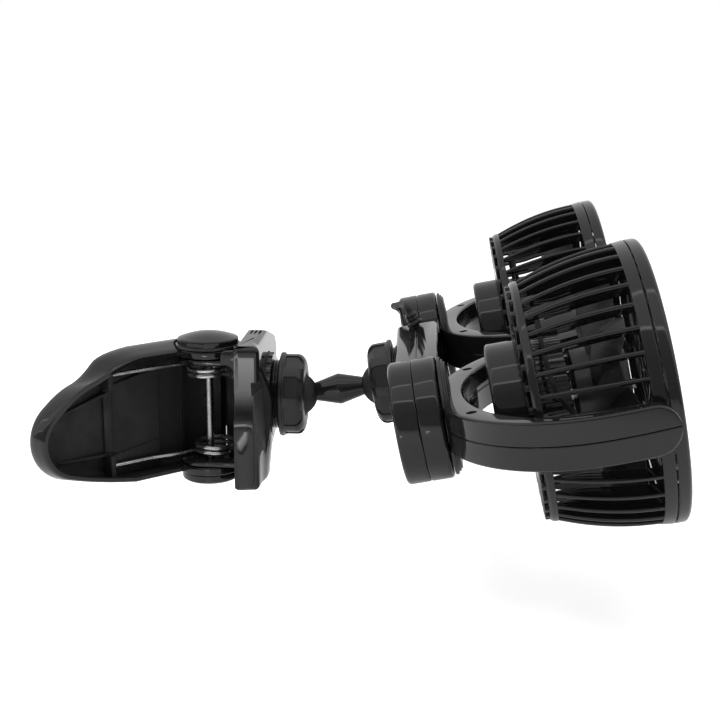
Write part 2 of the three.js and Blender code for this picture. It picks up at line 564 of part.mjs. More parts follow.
function fan(where, side) {
  const group = new THREE.Group();
  const add = (name, body, look) => piece(group, where + '_' + name, body, look);
  add('swivel_hub', swivelHub(), BLACK_SATIN);
  add('hub_retainer', latheX(tubeProfile(1.5, 2.9, 8.4, 4.4), MEDIUM), STEEL);
  add('yoke_upper', yokeHalf(1), BLACK_GLOSS);
  add('yoke_lower', yokeHalf(-1), BLACK_GLOSS);
  YOKE_SCREWS.forEach(([a, y], i) => {
    const screw = latheZ([[-5.9, 0], [-5.9, 1.7], [-4.2, 1.7], [-4.2, 0.65], [3, 0.65], [3, 0]], COARSE);
    add(i ? 'yoke_screw_2' : 'yoke_screw_1', screw.translate(a, y, 0), STEEL);
  });
  add('pivot_pin_1', pivotPin(-1), BLACK_SATIN);
  add('pivot_pin_2', pivotPin(1), BLACK_SATIN);
  add('cage', cage(), BLACK_GLOSS);
  add('front_grille', frontGrille(), BLACK_GLOSS);
  add('motor_housing', motorHousing(), BLACK_GLOSS);
  add('stator', stator(), COPPER);
  add('bearing', bearing(), BRASS);
  add('motor_lead', motorLead(side), RUBBER);
  add('rotor_magnet', rotorMagnet(), BLACK_SATIN);
  add('shaft', shaft(), STEEL);
  add('impeller', impeller(), BLACK_SATIN);
  group.position.set(BAR_MID, side * DISC_SPACING / 2, 0);
  return group;
}

// ---- Assembly ---------------------------------------------------------------------------------------------
const fromClipBall = new THREE.Group();
fromClipBall.position.set(...CLIP_BALL);
fromClipBall.add(clip(), arm());

const head = new THREE.Group();
head.position.set(ARM_LENGTH * Math.cos(radians(ARM_RISE)), 0, ARM_LENGTH * Math.sin(radians(ARM_RISE)));
head.rotation.y = radians(-HEAD_RISE);
head.add(bar(), fan('near', -1), fan('far', 1));
fromClipBall.add(head);

const assembly = new THREE.Group();
assembly.add(fromClipBall);

export default assembly;
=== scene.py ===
import json
import math
from collections import Counter

import bmesh
import bpy
from mathutils import Matrix, Vector

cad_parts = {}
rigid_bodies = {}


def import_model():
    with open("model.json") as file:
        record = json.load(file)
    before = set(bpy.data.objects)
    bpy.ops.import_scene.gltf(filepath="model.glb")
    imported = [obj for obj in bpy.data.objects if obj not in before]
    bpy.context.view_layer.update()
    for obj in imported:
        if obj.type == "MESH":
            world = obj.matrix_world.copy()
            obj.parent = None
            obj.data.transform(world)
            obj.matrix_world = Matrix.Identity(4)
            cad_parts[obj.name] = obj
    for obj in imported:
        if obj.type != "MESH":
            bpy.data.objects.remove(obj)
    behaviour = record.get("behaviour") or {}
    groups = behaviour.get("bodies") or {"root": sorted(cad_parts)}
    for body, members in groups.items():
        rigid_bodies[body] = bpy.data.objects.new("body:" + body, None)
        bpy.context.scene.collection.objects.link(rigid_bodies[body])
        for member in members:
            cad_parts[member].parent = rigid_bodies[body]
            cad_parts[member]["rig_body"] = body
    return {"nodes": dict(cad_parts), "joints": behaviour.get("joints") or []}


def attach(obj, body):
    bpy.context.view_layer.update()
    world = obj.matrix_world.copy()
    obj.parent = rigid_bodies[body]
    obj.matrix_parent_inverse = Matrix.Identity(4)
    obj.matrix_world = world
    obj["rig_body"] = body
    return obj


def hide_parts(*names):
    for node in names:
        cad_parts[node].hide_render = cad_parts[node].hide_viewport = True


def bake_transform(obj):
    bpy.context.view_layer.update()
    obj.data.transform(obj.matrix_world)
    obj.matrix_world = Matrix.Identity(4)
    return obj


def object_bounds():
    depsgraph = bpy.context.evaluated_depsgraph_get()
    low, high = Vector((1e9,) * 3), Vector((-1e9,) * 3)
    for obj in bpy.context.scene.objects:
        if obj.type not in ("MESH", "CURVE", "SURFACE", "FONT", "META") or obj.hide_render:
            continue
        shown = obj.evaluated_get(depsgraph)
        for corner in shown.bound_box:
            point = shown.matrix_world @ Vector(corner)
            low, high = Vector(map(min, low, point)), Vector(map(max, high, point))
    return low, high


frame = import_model()
cad_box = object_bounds()

# ---- Driving dimensions, in millimetres and degrees. Each piece is shaped in the local frame of its joint. 
MM = 0.001
HANDLE_ANGLE = 223.7          # direction of the lever's handle about the hinge pin, from +X
BALL_R = 7.5
CUP_R = BALL_R + 0.35
LINK_LENGTH = 30
BAR_MID = 13.65               # the bar's middle plane, from the second ball
BAR_HALF = 7
DISC_R = 18
DISC_REACH = 58               # from the middle of the bar to a disc's middle
CAGE_R = 41.2
PIVOT_A = 60.4                # the yoke's pivots, from the bar's middle plane
RIB_COUNT = 36
SEAM = 0.06                   # half the gap between two shells
PIN_X, PIN_Y = -26, -20       # the hinge pin, from the clip's ball
PIN_R = 1.4
EAR_IN = (15.9, 17.4)         # heights of the fixed half's ears
EAR_R = 9.6
EAR_OUT = (17.7, 20.4)        # heights of the lever's ears
CAP_BASE = 20.6               # where the hinge pin's caps begin
PAD_X = -17                   # the fixed jaw's grip face, from the clip's ball
MOUTH = 6
FINE = 96
ROUND = 48

joints = {joint["name"]: joint for joint in frame["joints"]}


def rise_of(joint):
    """Degrees by which a joint's axis climbs above +X."""
    x, _, z = joints[joint]["axis"]
    return math.degrees(math.atan2(z, x))


def place(joint, axis="Y", angle=0.0):
    """The matrix from millimetres about a joint to the row frame, turned by angle about an axis."""
    spot = Matrix.Translation(joints[joint]["pos_m"])
    return spot @ Matrix.Rotation(math.radians(angle), 4, axis) @ Matrix.Scale(MM, 4)


CLIP = place("ball_a_tilt")
PIN = place("lever_squeeze")
HANDLE = place("lever_squeeze", "Z", HANDLE_ANGLE)
ARM = place("ball_a_tilt", "Y", -rise_of("arm_twist"))
HEAD = place("ball_b_tilt", "Y", -rise_of("bar_roll"))
FANS = {side: place(side + "_yoke_swivel", "Y", -rise_of("bar_roll")) for side in ("near", "far")}


# ---- Shapes: points, faces, and a tag for each face that picks its material ------------------------------
class Shape:
    def __init__(self, points, faces, tags=None):
        self.points = [Vector(point) for point in points]
        self.faces = [tuple(face) for face in faces]
        self.tags = tags or [0] * len(self.faces)

    def tagged(self, tag):
        return Shape(self.points, self.faces, [tag] * len(self.faces))

    def moved(self, matrix):
        return Shape([matrix @ point for point in self.points], self.faces, self.tags)

    def at(self, x=0.0, y=0.0, z=0.0):
        return self.moved(Matrix.Translation((x, y, z)))

    def turned(self, degrees, axis):
        return self.moved(Matrix.Rotation(math.radians(degrees), 4, axis))

    def flipped(self, axis):
        scale = [-1.0 if name == axis else 1.0 for name in "XYZ"]
        return self.moved(Matrix.Diagonal((*scale, 1.0)))


def merge(*shapes):
    """Several shapes that don't touch, as one."""
    points, faces, tags = [], [], []
    for shape in shapes:
        base = len(points)
        points += shape.points
        faces += [tuple(i + base for i in face) for face in shape.faces]
        tags += shape.tags
    return Shape(points, faces, tags)


def around(shape, count, first=0.0):
    """Copies of a shape evenly spaced about X."""
    return merge(*[shape.turned(first + 360 * i / count, "X") for i in range(count)])


spare = [bpy.data.materials.new("spare_%d" % i) for i in range(3)]


def temporary(shape):
    """An object that holds a shape while a boolean is worked out."""
    mesh = bpy.data.meshes.new("temporary")
    work = bmesh.new()
    corners = [work.verts.new(point) for point in shape.points]
    for face, tag in zip(shape.faces, shape.tags):
        work.faces.new([corners[i] for i in face]).material_index = tag
    bmesh.ops.recalc_face_normals(work, faces=work.faces)
    work.to_mesh(mesh)
    work.free()
    for material in spare:
        mesh.materials.append(material)
    holder = bpy.data.objects.new("temporary", mesh)
    bpy.context.scene.collection.objects.link(holder)
    return holder


def boolean(operation, base, tool):
    """Two shapes combined. Pairs of faces with no thickness between them are dropped."""
    body, other = temporary(base), temporary(tool)
    modifier = body.modifiers.new("boolean", "BOOLEAN")
    modifier.operation = operation
    modifier.solver = "MANIFOLD"
    modifier.object = other
    bpy.context.view_layer.update()
    mesh = body.evaluated_get(bpy.context.evaluated_depsgraph_get()).to_mesh()
    points = [vertex.co.copy() for vertex in mesh.vertices]
    faces = [(tuple(polygon.vertices), polygon.material_index) for polygon in mesh.polygons]
    uses = Counter(frozenset(face) for face, _ in faces)
    kept = [(face, tag) for face, tag in faces if uses[frozenset(face)] == 1]
    result = Shape(points, [face for face, _ in kept], [tag for _, tag in kept])
    for holder in (body, other):
        data = holder.data
        bpy.data.objects.remove(holder)
        bpy.data.meshes.remove(data)
    return result


def join(base, *tools):
    for tool in tools:
        base = boolean("UNION", base, tool)
    return base


def cut(base, *tools):
    for tool in tools:
        base = boolean("DIFFERENCE", base, tool)
    return base


def common(base, tool):
    return boolean("INTERSECT", base, tool)


def arc(cx, cy, r, start, end, steps):
    """Points on a circle between two angles."""
    angles = [math.radians(start + (end - start) * i / steps) for i in range(steps + 1)]
    return [(cx + r * math.cos(t), cy + r * math.sin(t)) for t in angles]


def quadratic(start, control, end, steps):
    """Points on a quadratic curve, without its first one."""
    points = []
    for i in range(1, steps + 1):
        t = i / steps
        points.append(tuple((1 - t) ** 2 * a + 2 * t * (1 - t) * b + t * t * c
                            for a, b, c in zip(start, control, end)))
    return points


def soften(points, radius=0.0, closed=False, steps=4):
    """A polyline with its corners rounded. A point's third value, if it has one, is its corner's radius."""
    out = []
    for i, point in enumerate(points):
        corner = Vector(point[:2])
        r = point[2] if len(point) > 2 else radius
        is_end = not closed and i in (0, len(points) - 1)
        before = Vector(points[i - 1][:2]) - corner
        after = Vector(points[(i + 1) % len(points)][:2]) - corner
        if is_end or r <= 0 or before.length * after.length == 0:
            out.append(tuple(corner))
            continue
        half = before.angle(after) / 2
        if half > math.radians(88):
            out.append(tuple(corner))
            continue
        reach = min(r / math.tan(half), 0.48 * before.length, 0.48 * after.length)
        middle = (before.normalized() + after.normalized()).normalized()
        centre = corner + middle * (reach / math.cos(half))
        start = corner + before.normalized() * reach - centre
        end = corner + after.normalized() * reach - centre
        turn = math.atan2(start.x * end.y - start.y * end.x, start.dot(end))
        for k in range(steps + 1):
            t = turn * k / steps
            out.append((centre.x + start.x * math.cos(t) - start.y * math.sin(t),
                        centre.y + start.x * math.sin(t) + start.y * math.cos(t)))
    return out


def lathe(profile, steps=FINE):
    """Turned about X, from (along, radius) points that start and end on the axis or run round a ring."""
    points, rows, faces = [], [], []
    for along, r in profile:
        first = len(points)
        if r < 1e-6:
            points.append((along, 0, 0))
            rows.append([first])
            continue
        for i in range(steps):
            t = 2 * math.pi * i / steps
            points.append((along, r * math.cos(t), r * math.sin(t)))
        rows.append(list(range(first, first + steps)))
    ring = profile[0][1] > 1e-6
    for a, b in zip(rows, rows[1:] + ([rows[0]] if ring else [])):
        for i in range(steps):
            j = (i + 1) % steps
            if len(a) == 1 and len(b) > 1:
                faces.append((a[0], b[j], b[i]))
            elif len(b) == 1 and len(a) > 1:
                faces.append((a[i], a[j], b[0]))
            elif len(a) > 1:
                faces.append((a[i], a[j], b[j], b[i]))
    return Shape(points, faces)


TURN_TO = {"X": (0, "X"), "Y": (90, "Z"), "Z": (-90, "Y")}


def turning(profile, axis="X", steps=FINE):
    return lathe(profile, steps).turned(*TURN_TO[axis])


def rod(lo, hi, r, axis="X", steps=ROUND, edge=0.0):
    """A round rod with its end corners rounded by edge."""
    return turning(soften([(lo, 0), (lo, r), (hi, r), (hi, 0)], edge), axis, steps)


def hoop(lo, hi, r, bore, edge=0.2, steps=FINE, axis="X"):
    outline = soften([(lo, bore), (lo, r), (hi, r), (hi, bore)], edge, closed=True, steps=3)
    return turning(outline, axis, steps)


def prism(outline, lo, hi, axis="Z", edge=0.0):
    """An outline pushed along an axis with rounded edges: (x, y) along Z, (y, z) along X, (x, z) along Y."""
    order = {"Z": lambda u, v, w: (u, v, w), "X": lambda u, v, w: (w, u, v),
             "Y": lambda u, v, w: (u, w, v)}[axis]
    work = bmesh.new()
    rings = [[work.verts.new(order(u, v, w)) for u, v in outline] for w in (lo, hi)]
    for i in range(len(outline)):
        j = (i + 1) % len(outline)
        work.faces.new([rings[0][i], rings[0][j], rings[1][j], rings[1][i]])
    for ring in rings:
        work.faces.new(ring)
    bmesh.ops.recalc_face_normals(work, faces=work.faces)
    if edge:
        sharp = [e for e in work.edges if e.calc_face_angle(0) > math.radians(30)]
        bmesh.ops.bevel(work, geom=sharp, offset=edge, segments=3, profile=0.5, affect="EDGES",
                        clamp_overlap=True)
    work.verts.index_update()
    shape = Shape([v.co.copy() for v in work.verts], [[v.index for v in face.verts] for face in work.faces])
    work.free()
    return shape


def block(xs, ys, zs, edge=0.0):
    (x0, x1), (y0, y1) = xs, ys
    return prism([(x0, y0), (x1, y0), (x1, y1), (x0, y1)], *zs, edge=edge)


def loft(rings):
    """Closed rings with the same number of points, joined in order and capped at both ends."""
    count = len(rings[0])
    points = [point for ring in rings for point in ring]
    faces = [tuple(range(count)), tuple(range(len(points) - count, len(points)))]
    for row in range(len(rings) - 1):
        for i in range(count):
            j = (i + 1) % count
            a, b = row * count, (row + 1) * count
            faces.append((a + i, a + j, b + j, b + i))
    return Shape(points, faces)


def smooth_path(knots, steps):
    """A Catmull-Rom curve through the knots."""
    knots = [Vector(knot) for knot in knots]
    ends = [2 * knots[0] - knots[1]] + knots + [2 * knots[-1] - knots[-2]]
    path = []
    for a, b, c, d in zip(ends, ends[1:], ends[2:], ends[3:]):
        for i in range(steps):
            t = i / steps
            path.append(0.5 * (2 * b + (c - a) * t + (2 * a - 5 * b + 4 * c - d) * t * t
                               + (3 * b - a - 3 * c + d) * t ** 3))
    return path + [knots[-1]]


def tube(path, r, sides=16):
    """A round wire along a path, with its ends slightly rounded."""
    rings = []
    normal = None
    for i, point in enumerate(path):
        along = (path[min(i + 1, len(path) - 1)] - path[max(i - 1, 0)]).normalized()
        if normal is None:
            normal = along.orthogonal().normalized()
        normal = (normal - along * normal.dot(along)).normalized()
        side = along.cross(normal)
        here = [(0.0, 1.0)]
        if i == 0:
            here = [(-0.3 * r, 0.7), (0.0, 1.0)]
        elif i == len(path) - 1:
            here = [(0.0, 1.0), (0.3 * r, 0.7)]
        for ahead, size in here:
            angles = [2 * math.pi * k / sides for k in range(sides)]
            rings.append([point + along * ahead + (normal * math.cos(t) + side * math.sin(t)) * r * size
                          for t in angles])
    return loft(rings)


# ---- Materials -------------------------------------------------------------------------------------------
class Tree:
    """A node tree, built up by name."""

    def __init__(self, tree):
        self.tree = tree

    def add(self, kind, inputs=None, **settings):
        node = self.tree.nodes.new(kind)
        for name, value in settings.items():
            setattr(node, name, value)
        for name, value in (inputs or {}).items():
            self.put(node.inputs[name], value)
        return node

    def put(self, socket, value):
        if isinstance(value, bpy.types.NodeSocket):
            self.tree.links.new(value, socket)
        else:
            socket.default_value = value

    def spread(self, value, low, high, start=0.3, end=0.7):
        inputs = {"Value": value, "From Min": start, "From Max": end, "To Min": low, "To Max": high}
        return self.add("ShaderNodeMapRange", inputs).outputs["Result"]

    def math(self, operation, a, b):
        node = self.add("ShaderNodeMath", operation=operation)
        self.put(node.inputs[0], a)
        self.put(node.inputs[1], b)
        return node.outputs[0]


class Nodes(Tree):
    """A material's node tree."""

    def __init__(self, name):
        self.material = bpy.data.materials.new(name)
        self.material.use_nodes = True
        super().__init__(self.material.node_tree)
        self.shader = self.tree.nodes["Principled BSDF"]
        self.where = self.add("ShaderNodeTexCoord").outputs["Object"]

    def noise(self, size, detail=3.0, stretch=(1, 1, 1)):
        """Noise with features of about size millimetres, longer along an axis where stretch is under 1."""
        scaled = self.add("ShaderNodeMapping", {"Vector": self.where, "Scale": stretch}).outputs["Vector"]
        inputs = {"Vector": scaled, "Scale": 1 / (size * MM), "Detail": detail}
        return self.add("ShaderNodeTexNoise", inputs).outputs["Fac"]

    def mix(self, share, a, b):
        node = self.add("ShaderNodeMix", data_type="RGBA")
        self.put(node.inputs[0], share)
        self.put(node.inputs[6], a)
        self.put(node.inputs[7], b)
        return node.outputs[2]

    def bump(self, height, depth, normal=None):
        inputs = {"Height": height, "Distance": depth * MM, "Strength": 1.0}
        if normal is not None:
            inputs["Normal"] = normal
        return self.add("ShaderNodeBump", inputs).outputs["Normal"]

    def edges(self, radius):
        """A normal rounded over edges, and how near an edge the point is, from 0 to 1."""
        soft = self.add("ShaderNodeBevel", {"Radius": radius * MM}, samples=4).outputs["Normal"]
        true = self.add("ShaderNodeNewGeometry").outputs["Normal"]
        dot = self.add("ShaderNodeVectorMath", operation="DOT_PRODUCT")
        self.put(dot.inputs[0], soft)
        self.put(dot.inputs[1], true)
        return soft, self.spread(dot.outputs["Value"], 1.0, 0.0, 0.8, 0.995)

    def finish(self, **inputs):
        for name, value in inputs.items():
            self.put(self.shader.inputs[name.replace("_", " ")], value)
        return self.material


def grey(level, warmth=0.0):
    return (level * (1 + warmth), level, level * (1 - warmth), 1.0)


def moulded_plastic(name, tone, shine, grain, grain_depth, wear=0.012):
    """Black moulded plastic: cloudy gloss, faint waves, a fine grain, hair scratches and rubbed edges."""
    n = Nodes(name)
    normal, edge = n.edges(0.22)
    waves = n.noise(26, 2)
    clouds = n.noise(7, 4)
    scratches = n.noise(1.1, 2, (0.04, 1, 1))
    fine_scratches = n.spread(scratches, 0.0, 1.0, 0.62, 0.7)
    dust = n.spread(n.noise(0.35, 1), 0.0, 1.0, 0.72, 0.8)
    normal = n.bump(waves, 0.02, normal)
    normal = n.bump(n.noise(grain, 2), grain_depth, normal)
    colour = n.mix(clouds, grey(tone * 0.8), grey(tone * 1.25))
    colour = n.mix(n.math("MULTIPLY", dust, 0.35), colour, grey(tone * 4))
    colour = n.mix(n.math("MULTIPLY", edge, 0.6), colour, grey(tone + wear))
    rough = n.spread(clouds, shine * 0.75, shine * 1.3)
    rough = n.math("ADD", rough, n.math("MULTIPLY", fine_scratches, 0.05))
    rough = n.math("ADD", rough, n.math("MULTIPLY", dust, 0.08))
    return n.finish(Base_Color=colour, Roughness=rough, Normal=normal, IOR=1.5)


def rubber(name, tone):
    n = Nodes(name)
    normal, edge = n.edges(0.15)
    cloud = n.noise(2.5, 5)
    normal = n.bump(n.noise(0.28, 3), 0.03, normal)
    colour = n.mix(cloud, grey(tone * 0.75), grey(tone * 1.4))
    colour = n.mix(n.math("MULTIPLY", edge, 0.5), colour, grey(tone * 2))
    return n.finish(Base_Color=colour, Roughness=n.spread(cloud, 0.55, 0.8), Normal=normal, IOR=1.45)


def bright_metal(name, colour, shine, lay):
    """Drawn or turned metal, with fine lines along the stretched axis and a slightly stained surface."""
    n = Nodes(name)
    normal, _ = n.edges(0.08)
    lines = n.noise(0.12, 3, lay)
    stain = n.noise(4, 5)
    normal = n.bump(lines, 0.004, normal)
    dull = tuple(c * 0.72 for c in colour[:3]) + (1.0,)
    tint = n.mix(n.spread(stain, 0.0, 1.0, 0.35, 0.75), colour, dull)
    rough = n.math("ADD", n.spread(lines, shine * 0.7, shine * 1.3), n.spread(stain, 0.0, 0.1))
    return n.finish(Base_Color=tint, Metallic=1.0, Roughness=rough, Normal=normal)


def windings(name):
    """Enamelled copper wire in close turns."""
    n = Nodes(name)
    inputs = {"Vector": n.where, "Scale": 650.0, "Distortion": 0.4}
    wave = n.add("ShaderNodeTexWave", inputs, bands_direction="Y")
    turns = wave.outputs["Fac"]
    colour = n.mix(turns, (0.12, 0.035, 0.012, 1), (0.52, 0.2, 0.07, 1))
    return n.finish(Base_Color=colour, Metallic=0.85, Roughness=0.35, Normal=n.bump(turns, 0.08))


def ferrite(name):
    n = Nodes(name)
    grain = n.noise(0.5, 4)
    colour = n.mix(grain, grey(0.03), grey(0.075, 0.03))
    return n.finish(Base_Color=colour, Roughness=n.spread(grain, 0.45, 0.7), Normal=n.bump(grain, 0.03))


gloss = moulded_plastic("gloss_black_plastic", 0.0085, 0.06, 0.9, 0.0012)
satin = moulded_plastic("satin_black_plastic", 0.011, 0.34, 0.3, 0.012)
matte = moulded_plastic("matte_black_inside", 0.0105, 0.62, 0.16, 0.03, wear=0.006)
textured = moulded_plastic("textured_black_ball", 0.012, 0.5, 0.55, 0.09, wear=0.01)
soft_rubber = rubber("black_rubber", 0.014)
steel = bright_metal("bright_steel", (0.66, 0.65, 0.64, 1), 0.2, (1, 1, 0.03))
# The hinge pin's steel is the bright steel made darker: painted shade for the dim reflections the pin shows.
shaded_pin_steel = bright_metal("shaded_steel_pin", (0.36, 0.36, 0.36, 1), 0.22, (1, 1, 0.03))
wire_steel = bright_metal("drawn_steel_wire", (0.6, 0.6, 0.6, 1), 0.24, (0.2, 0.2, 1))
bronze = bright_metal("sleeve_bronze", (0.52, 0.36, 0.17, 1), 0.35, (0.1, 1, 1))
copper = windings("copper_winding")
magnet = ferrite("magnet")

SHARP = math.radians(33)


def add_piece(node, shape, where, *materials, sharp=SHARP):
    """Makes the fine version of a CAD node from a shape in a local frame, and lets it stand for the node."""
    mesh = bpy.data.meshes.new(node + "_fine")
    work = bmesh.new()
    corners = [work.verts.new(where @ point) for point in shape.points]
    for face, tag in zip(shape.faces, shape.tags):
        made = work.faces.new([corners[i] for i in face])
        made.material_index = min(tag, len(materials) - 1)
        made.smooth = True
    bmesh.ops.remove_doubles(work, verts=work.verts, dist=2e-7)
    bmesh.ops.dissolve_degenerate(work, edges=work.edges, dist=2e-7)
    bmesh.ops.recalc_face_normals(work, faces=work.faces)
    for edge in work.edges:
        edge.smooth = edge.calc_face_angle(0) < sharp
    work.to_mesh(mesh)
    work.free()
    for material in materials:
        mesh.materials.append(material)
    fine = bpy.data.objects.new(node + "_fine", mesh)
    bpy.context.scene.collection.objects.link(fine)
    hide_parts(node)
    return fine


def ride_with(node, fine):
    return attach(fine, frame["nodes"][node]["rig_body"])


def moulding(node, shape, where, *materials, sharp=SHARP):
    return ride_with(node, add_piece(node, shape, where, *materials, sharp=sharp))


# ---- Ball joints, about a ball's centre with the socket towards -X ---------------------------------------
NUT_BORE = 12.15
NUT_GRIPS = 8
THREAD_R = 11.7
THREAD_DEPTH = 0.55
FLANGE_NOTCHES = 22


def cup_point(x):
    return (x, math.sqrt(CUP_R ** 2 - x ** 2))


def lock_nut():
    """A ring nut with a rim at its back, a flat face with a rounded edge and eight D-shaped finger grips."""
    front, face_r, body_r, turn_start = 3.6, 10.0, 13.6, 0.8
    outside = soften([(-4.8, NUT_BORE), (-4.8, 14.15, 0.35), (-3.5, 14.15, 0.3), (-3.42, body_r, 0.1),
                      (turn_start, body_r)])
    for i in range(1, 11):
        t = math.radians(9 * i)
        outside.append((turn_start + (front - turn_start) * math.sin(t),
                        face_r + (body_r - face_r) * math.cos(t)))
    outside += [(front, 7.5), (front - 0.2, 7.25)]
    nut = lathe(outside + [(2.6, 7.4), (1.0, 7.95), (1.0, NUT_BORE)], FINE * 2)
    outline = soften([(-2.9, -3.7, 0.4), (3.3, -3.7, 3.3), (3.3, 3.7, 3.3), (-2.9, 3.7, 0.4)],
                     closed=True, steps=9)
    depth = prism([(-4, 12.75), (1.2, 12.7), (3.6, 11.4), (5, 11.3), (5, 17), (-4, 17)], -5, 5, "Y")
    return cut(nut, around(common(prism(outline, 9, 16), depth), NUT_GRIPS, 180 / NUT_GRIPS))


def seat_ring():
    inner = [cup_point(x) for x in (0.3, -1, -2.2, -3.3, -4.4, -5.5, -6.5)]
    return lathe([(-6.5, 6.5), (-4.5, 9.3), (0.3, 9.3)] + inner)


def threads(start, end, r, pitch):
    """A profile of rounded thread crests between two places."""
    points = []
    count = round((end - start) / pitch)
    for i in range(count):
        base = start + pitch * i
        points += [(base + 0.1 * pitch, r - THREAD_DEPTH), (base + 0.35 * pitch, r), (base + 0.65 * pitch, r),
                   (base + 0.9 * pitch, r - THREAD_DEPTH)]
    return points


def clip_socket():
    """The flange with its ring of small notches, the thread and the cup of the clip's ball."""
    outside = soften([(-10.9, 0), (-10.9, 14.1, 0.4), (-7.3, 14.1, 0.3), (-7.3, 12.3, 0.2), (-6.9, 11.2)])
    inside = [(0.5, 11.1), (0.5, 9.6), (-6.9, 9.6), (-6.9, 4.8), (-7.95, 3.6), (-7.95, 0)]
    socket = lathe(outside + threads(-6.9, 0.4, THREAD_R, 0.95) + inside)
    outline = soften([(-8.9, -0.75, 0.6), (-5, -0.75), (-5, 0.75), (-8.9, 0.75, 0.6)], closed=True)
    notch = prism(outline, 13.7, 15.5)
    return cut(socket, around(notch, FLANGE_NOTCHES), rod(-12, -8.5, 1.65))


def bar_socket():
    inside = [(7.95, 0), (7.95, 3.6), (6.9, 4.8), (6.9, 9.6), (-0.5, 9.6), (-0.5, 11.1)]
    outside = soften([(8.6, 11.2), (8.9, 11.7, 0.2), (8.9, 12.8, 0.3), (10.6, 12.8, 0.3), (10.6, 0)])
    return lathe(inside + threads(-0.4, 8.4, THREAD_R, 1.2) + outside)


def ball(stud_from):
    """A ball with a fine knurl of low pyramids and a bore for the link's stud."""
    rows, columns, knurl = 56, 128, 0.11
    points = [(-BALL_R, 0, 0)]
    for i in range(1, rows):
        t = math.pi * i / rows
        for k in range(columns):
            turn = 2 * math.pi * k / columns
            r = BALL_R - knurl * ((i + k) % 2)
            out = r * math.sin(t)
            points.append((-r * math.cos(t), out * math.cos(turn), out * math.sin(turn)))
    points.append((BALL_R, 0, 0))
    faces = []
    last = len(points) - 1
    for k in range(columns):
        after = (k + 1) % columns
        faces += [(0, 1 + k, 1 + after), (last, last - columns + after, last - columns + k)]
        for i in range(rows - 2):
            a, b = 1 + i * columns, 1 + (i + 1) * columns
            faces += [(a + k, b + k, a + after), (b + k, b + after, a + after)]
    return cut(Shape(points, faces), rod(stud_from, BALL_R + 1, 2.2))


def arm_link():
    """A double cone that swells to a crisp waist, on a stud at each end."""
    half = [(3.6, 0), (3.6, 1.85, 0.3), (6.75, 1.85), (6.75, 3.05, 0.1), (7.2, 3.15, 1.5), (14.7, 5.15, 0.5)]
    whole = half + [(LINK_LENGTH - point[0], *point[1:]) for point in reversed(half)]
    return lathe(soften(whole, steps=6))


def screw(lo, head_r, head_length, shank_r, length):
    """A pan-head screw pointing along +X with a cross recess in its head."""
    hi = lo + head_length
    profile = soften([(lo, 0), (lo, head_r, 0.5), (hi, head_r, 0.1), (hi, shank_r),
                      (lo + length - 0.8, shank_r), (lo + length, 0)], steps=5)
    slot = block((lo - 1, lo + 0.75), (-0.62 * head_r, 0.62 * head_r), (-0.22, 0.22), edge=0.08)
    return cut(turning(profile, steps=ROUND), slot, slot.turned(90, "X"))


moulding("clip_lock_nut", lock_nut(), CLIP, satin)
moulding("seat_ring_a", seat_ring(), CLIP, soft_rubber)
moulding("clip_ball_socket", clip_socket(), CLIP, gloss)
moulding("clip_socket_screw", screw(-14.9, 3.2, 1.8, 1.5, 6), CLIP, steel)
moulding("arm_ball_a", ball(3.2), ARM, textured)
moulding("arm_link", arm_link(), ARM, gloss)
moulding("arm_ball_b", ball(3.2).flipped("X").at(LINK_LENGTH), ARM, textured)
moulding("bar_lock_nut", lock_nut().flipped("X"), HEAD, satin)
moulding("seat_ring_b", seat_ring().flipped("X"), HEAD, soft_rubber)
moulding("bar_ball_socket", bar_socket(), HEAD, gloss)


# ---- Cross bar, about the second ball with the fans towards +X -------------------------------------------
def bar_outline(inset):
    """Half of the bar's outline is a disc's arc, a web and a square block; the other half mirrors it."""
    r, web, block_y, block_z = DISC_R - inset, 11 - inset, 17.6 - inset, 15 - inset
    join_angle = math.degrees(math.asin(web / r))
    right = arc(DISC_REACH, 0, r, -180 + join_angle, 180 - join_angle, 64)
    corner = soften([(40, web), (block_y, web, 0.8), (block_y, block_z, 3 - min(inset, 1.5)), (0, block_z)],
                    steps=5)
    top = right + corner[1:-1]
    return top + [(-y, -z) for y, z in top]


def bar_shell(seam, face, side):
    """One half of the bar, its face rim rounded and a fine groove at the seam. side is 1 for the front."""
    radius = 1.3
    layers = [(seam, 0.28), (seam + side * 0.22, 0.06), (seam + side * 0.4, 0.0)]
    for i in range(7):
        t = math.radians(90 * i / 6)
        layers.append((face - side * radius * (1 - math.sin(t)), radius * (1 - math.cos(t))))
    outer = loft([[(x, y, z) for y, z in bar_outline(inset)] for x, inset in layers])
    hollow = loft([[(x, y, z) for y, z in bar_outline(2)] for x in (seam - side, face - side * 1.9)])
    pillars = [rod(min(seam, face) + 0.6, max(seam, face) - 0.6, 3.6).at(y=y)
               for y in (-BAR_SCREW_Y, BAR_SCREW_Y)]
    shell = join(cut(outer, hollow.tagged(1)), *[pillar.tagged(1) for pillar in pillars])
    outlet = rod(10, 20, CABLE_R + 0.35, "Z").at(BAR_MID, CABLE_Y)
    return cut(shell, outlet)


def leaning(shape):
    """A shape tipped back and to the left, as the cable leaves the bar."""
    return shape.turned(-18, "Y").turned(-8, "X")


def gland():
    """The strain relief: a square foot and a short ribbed neck that leans back with the cable."""
    foot = block((-2.6, 2.6), (-2.5, 2.5), (0.05, 1.25), edge=0.35)
    rings = [(0.5, 0)]
    for i in range(3):
        z = 0.7 + 1.25 * i
        rings += [(z, 2.1), (z + 0.8, 2.1), (z + 0.95, 1.75), (z + 1.15, 1.75)]
    neck = turning(soften(rings + [(4.6, 1.7), (4.6, 0)], 0.12), "Z")
    lean = common(leaning(join(foot, neck)), block((-9, 9), (-9, 9), (0.0, 9)))
    bore = join(rod(-1, 2, CABLE_R + 0.3, "Z"), leaning(rod(1, 9, CABLE_R + 0.3, "Z")))
    return cut(lean, bore)


